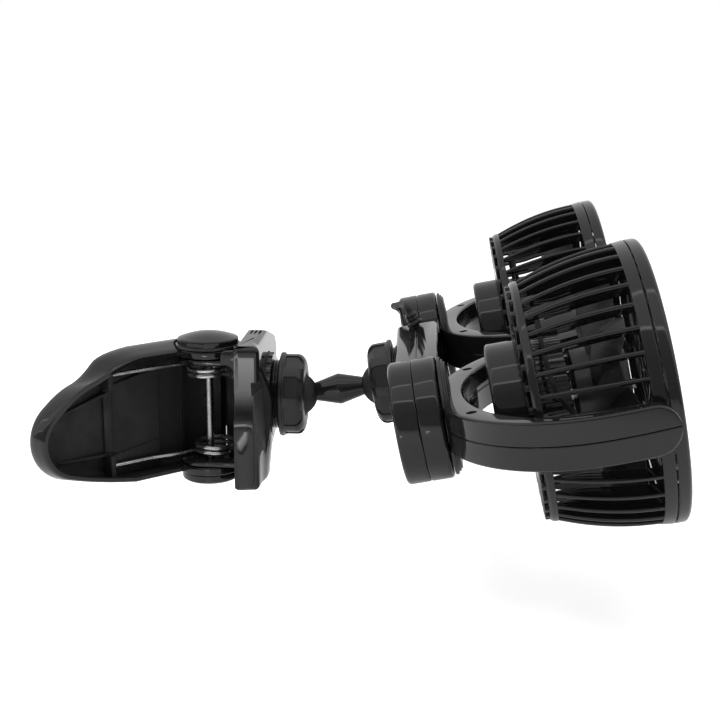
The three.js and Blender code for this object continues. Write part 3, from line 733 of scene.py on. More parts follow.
BAR_SCREW_Y = 33
CABLE_R = 1.15
CABLE_Y = 12
GLAND_BASE = 15.35
PLUG_TOP = -34
HANG = (BAR_MID - 1, 84)


def cable_path():
    """The cable climbs out of the gland, runs beside and behind the far disc and hangs to its connector."""
    knots = [(BAR_MID, CABLE_Y, 13), (BAR_MID, CABLE_Y, GLAND_BASE + 0.5),
             (BAR_MID - 1.3, CABLE_Y + 0.6, GLAND_BASE + 4.5), (BAR_MID - 2, 13.6, GLAND_BASE + 6.4),
             (BAR_MID - 2.7, 19, GLAND_BASE + 6.6), (BAR_MID - 4.3, 28, GLAND_BASE + 5.4),
             (BAR_MID - 6.6, 36, 19.3), (BAR_MID - 8.3, 44, 18), (BAR_MID - 8.5, 57, 15.3),
             (BAR_MID - 8.5, 71, 12.3), (BAR_MID - 7.4, 79, 8), (BAR_MID - 4, 83, -3), (*HANG, -18),
             (*HANG, PLUG_TOP)]
    return smooth_path(knots, 16)


def connector():
    """A barrel plug: a ribbed grip with a tapered strain relief and a bored sleeve."""
    grip = []
    for i in range(6):
        z = PLUG_TOP - 15.2 + 1.9 * i
        grip += [(z, 4.65), (z + 1.1, 4.65), (z + 1.3, 4.3), (z + 1.7, 4.3)]
    profile = [(PLUG_TOP - 26, 0), (PLUG_TOP - 26, 2.75, 0.3), (PLUG_TOP - 16.5, 2.75),
               (PLUG_TOP - 16.5, 4.6, 0.6)]
    tail = [(PLUG_TOP - 3.4, 4.7, 0.8), (PLUG_TOP + 1.5, 2.5, 0.4), (PLUG_TOP + 1.5, 0)]
    body = turning(soften(profile + grip + tail, 0.1), "Z")
    return cut(body, rod(PLUG_TOP - 1, PLUG_TOP + 2, CABLE_R + 0.1, "Z"),
               rod(PLUG_TOP - 27, PLUG_TOP - 14, 1.25, "Z"))


bar_back, bar_front = BAR_MID - BAR_HALF, BAR_MID + BAR_HALF
rear = bar_shell(BAR_MID - SEAM, bar_back, -1)
recesses = [join(rod(bar_back - 1, BAR_MID + 1, 1.5), rod(bar_back - 1, bar_back + 2, 2.9)).at(y=y)
            for y in (-BAR_SCREW_Y, BAR_SCREW_Y)]
rear = cut(rear, rod(bar_back - 1, bar_back + 3, 12, steps=FINE), *recesses)
moulding("bar_rear_shell", rear, HEAD, gloss, matte)
front = bar_shell(BAR_MID + SEAM, bar_front, 1)
holes = [rod(BAR_MID - 1, bar_front - 2.5, 1.3).at(y=y) for y in (-BAR_SCREW_Y, BAR_SCREW_Y)]
holes += [rod(BAR_MID, bar_front + 1, 5.4).at(y=y) for y in (-DISC_REACH, DISC_REACH)]
moulding("bar_front_shell", cut(front, *holes), HEAD, gloss, matte)
for name, y in (("bar_screw_near", -BAR_SCREW_Y), ("bar_screw_far", BAR_SCREW_Y)):
    moulding(name, screw(bar_back + 0.3, 2.5, 1.6, 1.1, 10.6).at(y=y), HEAD, steel)
moulding("cable_gland", gland().at(BAR_MID, CABLE_Y, GLAND_BASE), HEAD, satin)
moulding("power_cable", tube(cable_path(), CABLE_R), HEAD, soft_rubber)
moulding("dc_connector", connector().at(*HANG), HEAD, satin)


# ---- Fan head, about the middle of its disc with the air blowing towards +X ------------------------------
HUB_FACE = BAR_HALF + 0.35
HUB_TOP = HUB_FACE + 2.2
YOKE_HALF = 6.65
YOKE_BEND = 47.9
YOKE_OUTER = (42.7, 53.1)     # half axes of the yoke's outer curve
YOKE_INNER = (34.7, 48.4)
YOKE_TIP = PIVOT_A + YOKE_HALF
YOKE_SCREWS = ((15.2, 27), (15.2, -27))


def swivel_hub():
    flange = soften([(1.2, 0), (1.2, 4.2, 0.2), (4, 4.2), (4, 5), (HUB_FACE, 5), (HUB_FACE, 17.3, 0.15),
                     (8.3, 17.3, 0.2), (8.3, 16.5), (9.0, 16.5, 0.2), (9.0, 15.8), (HUB_TOP, 15.8, 0.25),
                     (HUB_TOP, 3), (13.4, 3, 0.3), (13.4, 0)])
    return cut(lathe(flange), rod(0, 14, 2))


def yoke_stations():
    """The yoke's inner and outer edge and its height, from one tip round to the other."""
    def straight(a):
        share = (a - YOKE_BEND) / (YOKE_TIP - YOKE_BEND)
        height = math.sqrt(max(0.02, YOKE_HALF ** 2 - max(0.0, a - PIVOT_A) ** 2))
        return (a, YOKE_INNER[1] - 2.2 * share ** 2), (a, YOKE_OUTER[1] - 2.5 * share ** 2), height
    tips = [PIVOT_A + YOKE_HALF * math.sin(math.radians(t)) for t in (89, 84, 77, 69, 60, 50, 40, 30, 20, 10)]
    arms = [PIVOT_A - (PIVOT_A - YOKE_BEND) * i / 6 for i in range(6)]
    ends = [straight(a) for a in tips + arms]
    middle = []
    steps = 72
    for i in range(steps + 1):
        t = math.radians(90 + 180 * i / steps)
        inner = (YOKE_BEND + YOKE_INNER[0] * math.cos(t), YOKE_INNER[1] * math.sin(t))
        outer = (YOKE_BEND + YOKE_OUTER[0] * math.cos(t), YOKE_OUTER[1] * math.sin(t))
        middle.append((inner, outer, YOKE_HALF))
    far_ends = [((i[0], -i[1]), (o[0], -o[1]), h) for i, o, h in reversed(ends)]
    return ends + middle + far_ends


def yoke_half():
    """The upper half of the yoke, with rounded rims, rounded tips and a fine groove along its seam."""
    rings = []
    for inner, outer, height in yoke_stations():
        a, b = Vector(inner), Vector(outer)
        across = (b - a).normalized()
        width = (b - a).length
        rim = min(0.75, 0.45 * height)
        groove = min(0.22, 0.2 * height)
        section = [(groove, SEAM), (0, SEAM + groove)] + arc(rim, height - rim, rim, 180, 90, 5)
        section += arc(width - rim, height - rim, rim, 90, 0, 5)
        section += [(width, SEAM + groove), (width - groove, SEAM)]
        rings.append([(*(a + across * u), z) for u, z in section])
    half = loft(rings)
    bores = join(rod(0, 14.4, 3.4), rod(-49.9, 49.9, 3.5, "Y").at(PIVOT_A))
    return cut(half, bores)


def yoke_upper():
    blind = [rod(5.3, 8, 1.5, "Z").at(a, y) for a, y in YOKE_SCREWS]
    holes = [rod(-1, 3.5, 0.8, "Z").at(a, y) for a, y in YOKE_SCREWS]
    return cut(yoke_half(), *[hole.tagged(1) for hole in blind + holes])


def yoke_lower():
    half = yoke_half().flipped("Z")
    for a, y in YOKE_SCREWS:
        half = cut(half, join(rod(-8, 1, 1.3, "Z"), rod(-8, -4, 1.9, "Z")).at(a, y).tagged(1))
    return half


def pivot_pin(side):
    """A stepped pin with a screwdriver slot, from the yoke's pocket into the cage's boss."""
    pin = turning(soften([(41.2, 0), (41.2, 2.35, 0.3), (46.6, 2.35), (46.6, 3.15, 0.2), (49.5, 3.15, 0.4),
                          (49.5, 0)]), "Y", ROUND)
    slotted = cut(pin, block((-2.2, 2.2), (48.9, 50), (-0.35, 0.35)))
    return (slotted if side > 0 else slotted.flipped("Y")).at(PIVOT_A)


RIB_FROM, RIB_TO = 33.2, 63.4


def rib_radii(a):
    """Outer and inner radius of a cage rib: its back swells outward and its inner edge sinks in."""
    share = (a - RIB_FROM) / (RIB_TO - RIB_FROM)
    chord = 34.85 + (40.75 - 34.85) * share
    outer = chord + 1.5 * 4 * share * (1 - share)
    depth = 1.3 + 3.1 * min(1.0, share * 3.2) ** 0.7 - 1.0 * max(0.0, share - 0.7)
    return outer, outer - depth


def cage_rib():
    """One rib in the X-Z plane: a thin blade with a rounded back, thinner towards its inner edge."""
    rings = []
    steps = 18
    for i in range(steps + 1):
        a = RIB_FROM + (RIB_TO - RIB_FROM) * i / steps
        outer, inner = rib_radii(a)
        back = 0.72
        section = [(-0.42, inner + 0.15), (-back, outer - 0.75)] + arc(0, outer - back, back, 165, 15, 5)
        section += [(back, outer - 0.75), (0.42, inner + 0.15), (0.2, inner), (-0.2, inner)]
        rings.append([(a, y, r) for y, r in section])
    return loft(rings)


SWAP_Y_Z = Matrix(((1, 0, 0, 0), (0, 0, 1, 0), (0, 1, 0, 0), (0, 0, 0, 1)))


def cage():
    """The ribbed cage: a slotted back, a rear rim, ribs, the band at the front and the two pivot bosses."""
    rear_rim = lathe(soften([(31.5, 32.2), (31.5, 34.4, 0.3), (32.3, 35.0, 0.3), (33.9, 35.3, 0.4),
                             (33.9, 32.6, 0.3)], closed=True))
    band = lathe(soften([(62.0, 39.2), (62.0, 40.85, 0.3), (65.2, CAGE_R, 0.1), (65.5, 40.95), (65.5, 39.2)],
                        closed=True))
    inner_ring = hoop(32, 34.4, 21.2, 18.9, edge=0.4)
    slats = block((30.3, 31.45), (-0.75, 0.75), (20.6, 34.3), edge=0.2)
    lug = block((30.9, 32.4), (-0.9, 0.9), (32.7, 34.2), edge=0.2)
    spoke = prism([(20.4, -1.7), (32.8, -1.0), (32.8, 1.0), (20.4, 1.7)], 32.1, 34.1, "X")
    spoke = spoke.moved(SWAP_Y_Z)
    back_ring = hoop(30.3, 31.4, 22.6, 20.2, edge=0.3)
    back_link = hoop(30.9, 32.6, 21.1, 20.4, edge=0.1)
    body = join(merge(rear_rim, band, inner_ring), around(spoke, 12, 15), back_link, back_ring)
    body = join(body, around(slats, RIB_COUNT), around(lug, RIB_COUNT), around(cage_rib(), RIB_COUNT, 5))
    for turn in (90, -90):
        boss = turning(soften([(37.8, 0), (37.8, 4.6), (44.0, 4.6), (44.0, 5.5, 0.3), (45.0, 5.5, 0.3),
                               (45.0, 4.6), (46, 4.6, 0.3), (46, 0)]), "Z", ROUND)
        outline = soften([(56.6, -4.2, 1), (63.6, -4.2), (63.6, 4.2), (56.6, 4.2, 1)], closed=True)
        web = prism(outline, 38.5, 40.5)
        gussets = [block((PIVOT_A - 6.2, PIVOT_A + 4.2), (y - 0.5, y + 0.5), (39.6, 43.8), edge=0.2)
                   for y in (-3, 3)]
        pivot = join(boss.at(PIVOT_A), web, *gussets)
        body = join(body, pivot.turned(turn, "X"))
    return cut(body, rod(-60, 60, 2.75, "Y").at(PIVOT_A))


def front_grille():
    """The front cover: a rounded rim, two rings, swept spokes and a plain domed cap."""
    rim = lathe(soften([(65.8, 39.1), (65.8, 40.95), (66.1, CAGE_R), (68.9, 41.15, 1.6), (69.7, 39.8, 0.5),
                        (68.6, 39.1, 0.4)], closed=True, steps=6))
    cap = lathe(soften([(67.4, 0), (67.4, 9.2, 0.3), (69.0, 9.2, 1.0), (69.6, 5, 4), (69.7, 0)], steps=5))
    rings = merge(*[hoop(67.9, 69.2, r, r - 1.3, edge=0.35) for r in (16.2, 23.9, 31.6)])
    spoke_rings = []
    steps, first, last = 14, 8.4, 39.5
    for i in range(steps + 1):
        r = first + (last - first) * i / steps
        sweep = 0.30 * math.sin(math.pi * i / steps)
        centre = Vector((r * math.sin(sweep), r * math.cos(sweep)))
        section = soften([(67.8, -0.62, 0.3), (69.3, -0.62, 0.5), (69.3, 0.62, 0.5), (67.8, 0.62, 0.3)],
                         closed=True)
        spoke_rings.append([(a, centre.x + y, centre.y) for a, y in section])
    return join(merge(rim, rings, cap), around(loft(spoke_rings), 16, 11.25))


def motor_housing():
    """A closed can: smooth outside the cage, fluted inside it, with a shallow ring pressed in its back."""
    profile = soften([(21.2, 0), (21.2, 9, 0.2), (21.7, 9.4, 0.2), (21.7, 12.6, 0.2), (21.2, 13, 0.2),
                      (21.2, 18.5, 1.5), (34.9, 18.5, 0.25), (34.9, 17.8), (43, 17.8, 0.3), (43, 16.4, 0.2),
                      (22.8, 16.4), (22.8, 5.5), (25.5, 5.5), (25.5, 3.9), (23.6, 3.9), (23.6, 0)])
    flute = rod(35.6, 44, 0.55, steps=12).at(z=18.0)
    return cut(lathe(profile), around(flute, 48), rod(14, 20, 1.2, "Z").at(38))


def impeller():
    """Seven twisted blades on a domed cup."""
    cup = lathe(soften([(45, 11.4), (45, 13.2, 0.2), (58.4, 13.2, 1.4), (60.5, 11, 2), (60.5, 0), (50, 0),
                        (50, 11.4)], steps=5))
    boss = rod(46, 52, 3.2)
    rings = []
    steps, root, tip = 12, 12.4, 32.1
    for i in range(steps + 1):
        r = root + (tip - root) * i / steps
        share = i / steps
        pitch = math.radians(48 - 14 * share)
        half = 7.0 + 0.9 * math.sin(math.pi * share) - 0.8 * share
        section = []
        for side, order in ((1, range(-4, 5)), (-1, range(4, -5, -1))):
            for k in order:
                u = k / 4
                camber = 1.1 * (1 - u * u)
                thick = 0.62 * math.sqrt(max(0.0, 1 - u * u)) + 0.12
                section.append((u * half, camber + side * thick))
        lean = 2.2 * share ** 2
        ring = []
        for u, v in section:
            a = 54.6 + u * math.cos(pitch) - v * math.sin(pitch)
            y = u * math.sin(pitch) + v * math.cos(pitch) + lean
            ring.append((a, y, math.sqrt(max(r * r - y * y, 1.0))))
        rings.append(ring)
    return cut(join(cup, boss, around(loft(rings), 7)), rod(44, 64, 1.6))


def stator():
    """A laminated ring with six poles, each wound with wire."""
    ring = hoop(31.4, 42.6, 16.1, 13.4)
    poles = merge(*[block((32, 42), (-1.5, 1.5), (9.4, 14), edge=0.3).turned(60 * i, "X") for i in range(6)])
    coils = merge(*[block((32.2, 41.8), (-2.6, 2.6), (10.2, 12.9), edge=0.9).tagged(1).turned(60 * i, "X")
                    for i in range(6)])
    return join(join(ring, poles), coils)


def motor_lead(side):
    """The lead climbs out of the motor, runs round inside the cage and ends in the pivot."""
    knots = [(38, 0, 17.1), (38, 0, 19.6), (37.5, side * 7, 25.5), (37, side * 20, 22), (38.5, side * 29.5, 9),
             (45, side * 33.6, 0), (52, side * 34.7, 0), (58, side * 36, 0), (60.2, side * 37, 0),
             (PIVOT_A, side * 39, 0), (PIVOT_A, side * 41, 0)]
    return tube(smooth_path(knots, 10), 0.7, 12)


for where, side in (("near", -1), ("far", 1)):
    fan = FANS[where]
    moulding(where + "_swivel_hub", swivel_hub(), fan, satin)
    moulding(where + "_hub_retainer", hoop(1.5, 2.9, 8.4, 4.4), fan, steel)
    moulding(where + "_yoke_upper", yoke_upper(), fan, gloss, matte)
    moulding(where + "_yoke_lower", yoke_lower(), fan, gloss, matte)
    for number, (a, y) in enumerate(YOKE_SCREWS, 1):
        fastener = screw(-5.9, 1.7, 1.7, 0.65, 8.9).turned(-90, "Y").at(a, y)
        moulding("%s_yoke_screw_%d" % (where, number), fastener, fan, steel)
    moulding(where + "_pivot_pin_1", pivot_pin(-1), fan, satin)
    moulding(where + "_pivot_pin_2", pivot_pin(1), fan, satin)
    moulding(where + "_cage", cage(), fan, gloss)
    moulding(where + "_front_grille", front_grille(), fan, gloss)
    moulding(where + "_motor_housing", motor_housing(), fan, gloss)
    moulding(where + "_stator", stator(), fan, magnet, copper)
    moulding(where + "_bearing", hoop(23.8, 31, 3.7, 1.85), fan, bronze)
    moulding(where + "_motor_lead", motor_lead(side), fan, soft_rubber)
    moulding(where + "_rotor_magnet", hoop(31.6, 42.4, 8.6, 1.6, edge=0.5), fan, magnet)
    moulding(where + "_shaft", rod(24.2, 62.5, 1.5, edge=0.25), fan, steel)
    moulding(where + "_impeller", impeller(), fan, satin)


# ---- Clip, about its ball, with the jaws away from the fans ----------------------------------------------
def closed_curve(knots, steps=6):
    """A smooth closed outline through the knots."""
    count = len(knots)
    outline = []
    for i in range(count):
        a, b, c, d = (Vector(knots[(i + k) % count]) for k in (-1, 0, 1, 2))
        for s in range(steps):
            t = s / steps
            point = 0.5 * (2 * b + (c - a) * t + (2 * a - 5 * b + 4 * c - d) * t * t
                           + (3 * b - a - 3 * c + d) * t ** 3)
            outline.append(tuple(point))
    return outline


def fixed_outline(inset=0.0):
    """The fixed half from the side in (y, z): tall at its near end, lower at the jaw."""
    near, far, high, low = -33.3 + inset, 24 - inset, 22.7 - inset, 16.5 - inset
    corners = [(near - 1, -high - 1.1, 0), (-4, -high, 8), (far - 2, -low - 0.6, 4), (far, low - 4, 4),
               (far - 5, low, 4), (-4, high, 8), (near - 1, high, 0)]
    return soften(corners, closed=True, steps=6)


def ramp(value, start, end):
    """0 before start, 1 after end and smooth between."""
    t = min(1.0, max(0.0, (value - start) / (end - start)))
    return t * t * (3 - 2 * t)


def fixed_section(z, inset):
    """The fixed half's plan at a height: near face, a cheek that swells beside the flange, and a flat jaw."""
    back, near, front, corner = -15, -33.3, -9.3, 1.6
    swell = 3.4 * (1 - ramp(z, 2, 15)) * (1 - 0.35 * ramp(-z, 8, 24))
    section = [(back, -31), (back - 1.2 + inset, -31), (back - 1.2 + inset, near + 0.4),
               (back - 0.8, near + inset)]
    lip = -7.9 - 0.5 * (1 - ramp(z, 2, 15))
    section += arc(lip - corner, near + corner, corner - inset, -90, -8, 8)
    for i in range(15):
        y = -31.2 + 19.4 * i / 14
        base = lip + (front - lip) * ramp(y, -32, -24)
        cheek = swell * ramp(y, -33, -19) * (1 - ramp(y, -15.2, -12.4))
        section.append((base + cheek - inset, y))
    return [(x, y, z) for x, y in section + [(front - inset, 26), (back, 26)]]


def fixed_plate():
    """The plate as one loft from bottom to top, its long edges rounded."""
    low, high, r = -24.0, 22.7, 1.9
    turns = [math.radians(t) for t in range(0, 91, 15)]
    heights = [(low + r * (1 - math.cos(t)), r * (1 - math.sin(t))) for t in turns]
    heights += [(low + r + (high - low - 2 * r) * i / 24, 0.0) for i in range(1, 24)]
    heights += [(high - r * (1 - math.sin(t)), r * (1 - math.cos(t))) for t in turns]
    whole = loft([fixed_section(z, inset) for z, inset in heights])
    return common(whole, prism(fixed_outline(), -18, -3, "X"))


def cheek_hollow():
    """The leaf-shaped hollow in the cheek, cut on the slant, with a shelf in its lower part."""
    floor = -10.3
    leaf = closed_curve([(-21.4, 13.0), (-26.5, 12.4), (-33.5, 11.3), (-36, 7), (-36, -9), (-32.6, -17),
                         (-29, -18.6), (-25, -15), (-22, -8), (-20.8, 0), (-20.5, 8)])
    shelf = block((floor - 1, floor + 0.7), (-40, -22.6), (-24, 7.2), edge=0.2)
    hollow = cut(prism(leaf, floor, -2, "X", edge=0.3), shelf)
    slant = Matrix(((1, 0.14, -0.05, 0.14 * 33 + 0.05 * 8), (0, 1, 0, 0), (0, 0, 1, 0), (0, 0, 0, 1)))
    return hollow.moved(slant)


def fixed_half():
    """The clip's fixed half: its plate, near panels, pin ears, the web behind them and its hollows."""
    back = -15
    body = cut(fixed_plate(), cheek_hollow().tagged(1))
    for high, out, right, radius in ((-0.6, -33.45, -9.9, 1.6), (-3.5, -33.6, -10.3, 1.8)):
        panel = soften([(back - 1.2, -23.4, 0.6), (right, -22.6, 2.5), (right, high, radius),
                        (back - 1.2, high, 0.3)], closed=True, steps=6)
        body = join(body, prism(panel, out, -31.5, "Y", edge=0.14))
    shoulder = soften([(-14, 21.6), (-19.9, 21.3, 1.6), (-20.3, 17.0, 0.7), (-16.2, 16.4, 3.6), (-16.2, 8),
                       (-14, 8)], closed=True, steps=8)
    web = block((-22.6, -12.6), (-7.5, -6), (-EAR_IN[0] - 0.5, EAR_IN[0] + 0.5), edge=0.2)
    body = join(body, prism(shoulder, -33.2, -31.2, "Y", edge=0.5), web.tagged(1))
    for side in (-1, 1):
        z0, z1 = sorted(side * z for z in EAR_IN)
        ear = rod(z0, z1, EAR_R, "Z", FINE, edge=0.4).at(PIN_X, PIN_Y)
        bridge = block((PIN_X, -12.5), (PIN_Y - EAR_R + 0.05, PIN_Y + EAR_R - 0.05), (z0 + 0.02, z1 - 0.02),
                       edge=0.4)
        body = join(body, bridge, ear)
    cuts = [rod(-11.1, 0, 14.5, steps=FINE), rod(-16, -10, 1.9), rod(-16, -13, 3.5),
            rod(-24, 24, PIN_R + 0.35, "Z").at(PIN_X, PIN_Y),
            block((-15.5, -12.9), (-27.5, -12), (-14.9, 14.9)).tagged(1)]
    pocket = prism(fixed_outline(2.2), -16, -13, "X", edge=0.0)
    cuts.append(common(pocket, block((-20, -10), (-30.7, -3), (-30, 30))).tagged(1))
    cuts += [block((-13.9 + 1.35 * i, -13.1 + 1.35 * i), (-11, -4), (22.0, 24), edge=0.15) for i in range(4)]
    body = cut(body, *cuts)
    ribs = [block((-14.6, -12.6), (-30.9, -27.8), (z - 0.5, z + 0.5), edge=0.15).tagged(1)
            for z in (-10, 0, 10)]
    return join(body, *ribs)


def ribbed_pad(face, back):
    """A grip pad whose ridges run up and down, with their flat tops on the grip face."""
    sign = 1 if back > face else -1
    outline = [(back, 22), (back, 2)]
    count, pitch = 11, 20 / 11
    for i in range(count):
        y = 2 + pitch * i
        outline += [(face + sign * 0.55, y + 0.06), (face, y + 0.42), (face, y + pitch - 0.42),
                    (face + sign * 0.55, y + pitch - 0.06)]
    return prism(outline, -12, 12, "Z")


def handle_outline(inset, flare, first=-1.0):
    """The handle in (distance from the pin, z). flare is 0 at its rim and 1 at its larger back."""
    def knot(rim, back):
        x, z = (a + (b - a) * flare for a, b in zip(rim, back))
        return x - 0.3 * inset, z - inset
    bottom, top = -19.6 - 0.9 * flare + inset, 20.2 + 1.7 * flare - inset
    nose = arc(47, -3, 12 + 1.2 * flare - inset, -75, 55, 30)
    slope, hump, shoulder = knot((40.5, 15), (44.5, 13.4)), knot((33.5, 17.9), (37.5, 18.4)), (24, top)
    curve = quadratic(nose[-1], knot((47.5, 13.1), (49.5, 12.0)), slope, 8)
    curve += quadratic(slope, knot((37, 16.5), (41, 14.8)), hump, 6)
    curve += quadratic(hump, knot((28.5, 20), (35, 21.2)), shoulder, 6)
    lead = quadratic((28, bottom), (42, bottom + 2.2), nose[0], 6)
    start = [(first, bottom), (12, bottom), (28, bottom)]
    return start + lead[:-1] + nose + curve + [(12, top), (first, top)]


def handle_depth(x):
    """How far the handle's back lies behind its rim."""
    if x < 20:
        return 12.3 - 0.3 * (x + 1) / 21
    return 12.0 - 4.0 * (x - 20) / 41


def handle_layer(inset, share, lift, first=-1.0, top=None):
    """The outline at a share of the depth, lifted off the back by lift."""
    flare = min(1.0, share / 0.6)
    return [(x, top if top is not None else -share * (handle_depth(x) - lift), z)
            for x, z in handle_outline(inset, flare, first)]


def handle_outside():
    r = 1.9
    layers = [handle_layer(0.35, 0, 0, top=0.0), handle_layer(0.0, 0, 0, top=-0.35)]
    layers += [handle_layer(0.0, share, 0) for share in (0.2, 0.4, 0.6)]
    for i in range(8):
        t = math.radians(90 * i / 7)
        layers.append(handle_layer(r * (1 - math.cos(t)), 1, r * (1 - math.sin(t))))
    return loft(layers + [handle_layer(7, 1, -0.25), handle_layer(10, 1, -0.3)])


def handle_inside(wall):
    r, first = 1.6, -4.0
    layers = [handle_layer(wall, 0, 0, first, top=3.0), handle_layer(wall, 0, 0, first, top=-0.01)]
    layers += [handle_layer(wall, share, 0, first) for share in (0.2, 0.4, 0.6)]
    for i in range(6):
        t = math.radians(90 * i / 5)
        inset = wall + 0.1 + r * (1 - math.cos(t))
        layers.append(handle_layer(inset, 1, wall + r * (1 - math.sin(t)), first))
    return loft(layers)


def lever():
    """The handle shell, the ears on the pin and the jaw, which is turned back to face the fixed jaw."""
    wall = 1.4
    jaw_back, jaw_front = -32 - PIN_X, PAD_X - MOUTH - 2 - PIN_X
    jaw_side = soften([(8, -20), (17, -20, 3), (44, -15, 8), (44, 15, 8), (17, 20, 3), (8, 20)],
                      closed=True, steps=7)
    jaw = prism(jaw_side, jaw_back, jaw_front, "X", edge=0.9).turned(-HANDLE_ANGLE, "Z")
    knuckle = common(rod(-20, 20, 12, "Z", FINE, edge=0.8), block((-13, 4), (-13, -6), (-21, 21)))
    seats = merge(*[rod(CAP_BASE - 0.15, 26, 11, "Z", FINE).turned(turn, "X") for turn in (0, 180)])
    body = join(cut(handle_outside(), handle_inside(wall).tagged(1), seats), knuckle, jaw)
    for side in (-1, 1):
        z0, z1 = sorted(side * z for z in EAR_OUT)
        body = join(body, rod(z0, z1, 10, "Z", FINE, edge=0.6))
    barrel = rod(-EAR_OUT[0], EAR_OUT[0], 10.4, "Z", FINE).tagged(1)
    body = cut(body, barrel, rod(-24, 24, PIN_R + 0.35, "Z"))
    return join(body, *[part.tagged(1) for part in handle_floor()])


def handle_floor():
    """What is moulded on the handle's floor: a raised field, a ramp, nose ribs and the springs' tabs."""
    inside = handle_inside(0.9)
    outline = soften([(13.5, -13.5, 0.6), (32.5, -11.5, 1.2), (32.5, 10.2, 1.2), (13.5, 14, 0.6)],
                     closed=True)
    field = prism(outline, -11.3, -8.9, "Y", edge=0.35)
    step = block((31, 34.2), (-11, -7.9), (-11.2, 9.9), edge=0.4)
    nose_ribs = [prism([(33, z0 - 0.55), (51, z1 - 0.55), (51, z1 + 0.55), (33, z0 + 0.55)], -10.5, -7.1, "Y",
                       edge=0.3) for z0, z1 in ((8.6, 3.4), (-11.4, -11.0))]
    slope = prism([(13.8, -19), (33, -19), (33, -12.5), (13.8, -9.4)], -11.5, -8.3, "Y", edge=0.5)
    tabs = [block((32.8, 34.6), (-10.2, -3.6), zs, edge=0.3) for zs in ((10.2, 18.5), (-19, -11))]
    return [common(part, inside) for part in [field, step, slope] + nose_ribs + tabs]


def spring(side, leg_z, offset):
    """A torsion spring of two turns about the pin, one long leg on the handle, one short on the clip."""
    coil_r, turns, pitch, per_turn = 5.75, 2, 1.75, 36
    cx, cy = offset
    points = [(31.8, -6.6, side * leg_z), (26, -6.55, side * leg_z), (18, -6.45, side * leg_z),
              (9, -coil_r - 0.25 + cy, side * leg_z)]
    steps = turns * per_turn
    for i in range(0, steps + round(0.3 * per_turn) + 1, 3):
        angle = math.radians(-90 - 360 * i / per_turn)
        points.append((cx + coil_r * math.cos(angle), cy + coil_r * math.sin(angle),
                       side * (leg_z - pitch * i / per_turn)))
    end_z = side * (leg_z - pitch * (turns + 0.36))
    points += [(cx - 5.9, cy + 5.6, end_z), (cx - 6.4, cy + 9.3, end_z)]
    return tube(smooth_path(points, 5), 0.75, 16)


def pin_cap_top():
    """A domed cap on a wider base with a serrated edge and a shallow notch in its side."""
    profile = soften([(0, 0), (0, 10.5, 0.15), (0.8, 10.5, 0.15), (0.8, 9.75), (2.7, 9.75, 0.7),
                      (2.95, 9.1, 0.2)], steps=5)
    dome = [(2.9 + 1.8 * (1 - (i / 10) ** 2), 9.1 * i / 10) for i in range(9, -1, -1)]
    notch = block((9.25, 11), (-3.1, 3.1), (0.8, 2.3), edge=0.25)
    teeth = merge(*[rod(-0.2, 1.0, 0.3, "Z", 12).at(10.55, 0, 0).turned(4 * i, "Z") for i in range(90)])
    cap = cut(turning(profile + dome, "Z"), notch.turned(-105, "Z"), teeth,
              rod(-1, 1.8, PIN_R + 0.15, "Z"))
    return cap.at(z=CAP_BASE)


def pin_cap_bottom():
    profile = soften([(0, 0), (0, 9.25, 0.2), (2.1, 9.25, 0.9), (2.8, 8.2, 0.3), (2.8, 0)], steps=5)
    groove = turning(soften([(2.6, 6.2), (3, 6.2), (3, 6.9), (2.6, 6.9)], closed=True), "Z")
    cap = cut(turning(profile, "Z"), groove, rod(-1, 1.8, PIN_R + 0.15, "Z"))
    return cap.at(z=CAP_BASE).flipped("Z")


def springs():
    """Each spring reaches from the fixed half to the lever, built in the handle's frame and fixed in place."""
    wires = (("spring_upper", 1, 14.4, (0.3, -0.4)), ("spring_lower", -1, 15.0, (-1.1, 1.0)))
    for name, side, leg_z, offset in wires:
        fine = add_piece(name, spring(side, leg_z, offset), HANDLE, wire_steel)
        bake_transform(fine)


moulding("clip_body", fixed_half(), CLIP, gloss, matte)
moulding("body_jaw_pad", ribbed_pad(PAD_X, PAD_X + 1.95), CLIP, soft_rubber)
moulding("lever_jaw_pad", ribbed_pad(PAD_X - MOUTH, PAD_X - MOUTH - 1.7), CLIP, soft_rubber)
moulding("clip_lever", lever(), HANDLE, gloss, matte)
moulding("hinge_pin", rod(-CAP_BASE - 1.5, CAP_BASE + 1.5, PIN_R, "Z", edge=0.3), PIN, shaded_pin_steel)
moulding("pin_cap_top", pin_cap_top(), PIN, gloss)
moulding("pin_cap_bottom", pin_cap_bottom(), PIN, gloss)
springs()


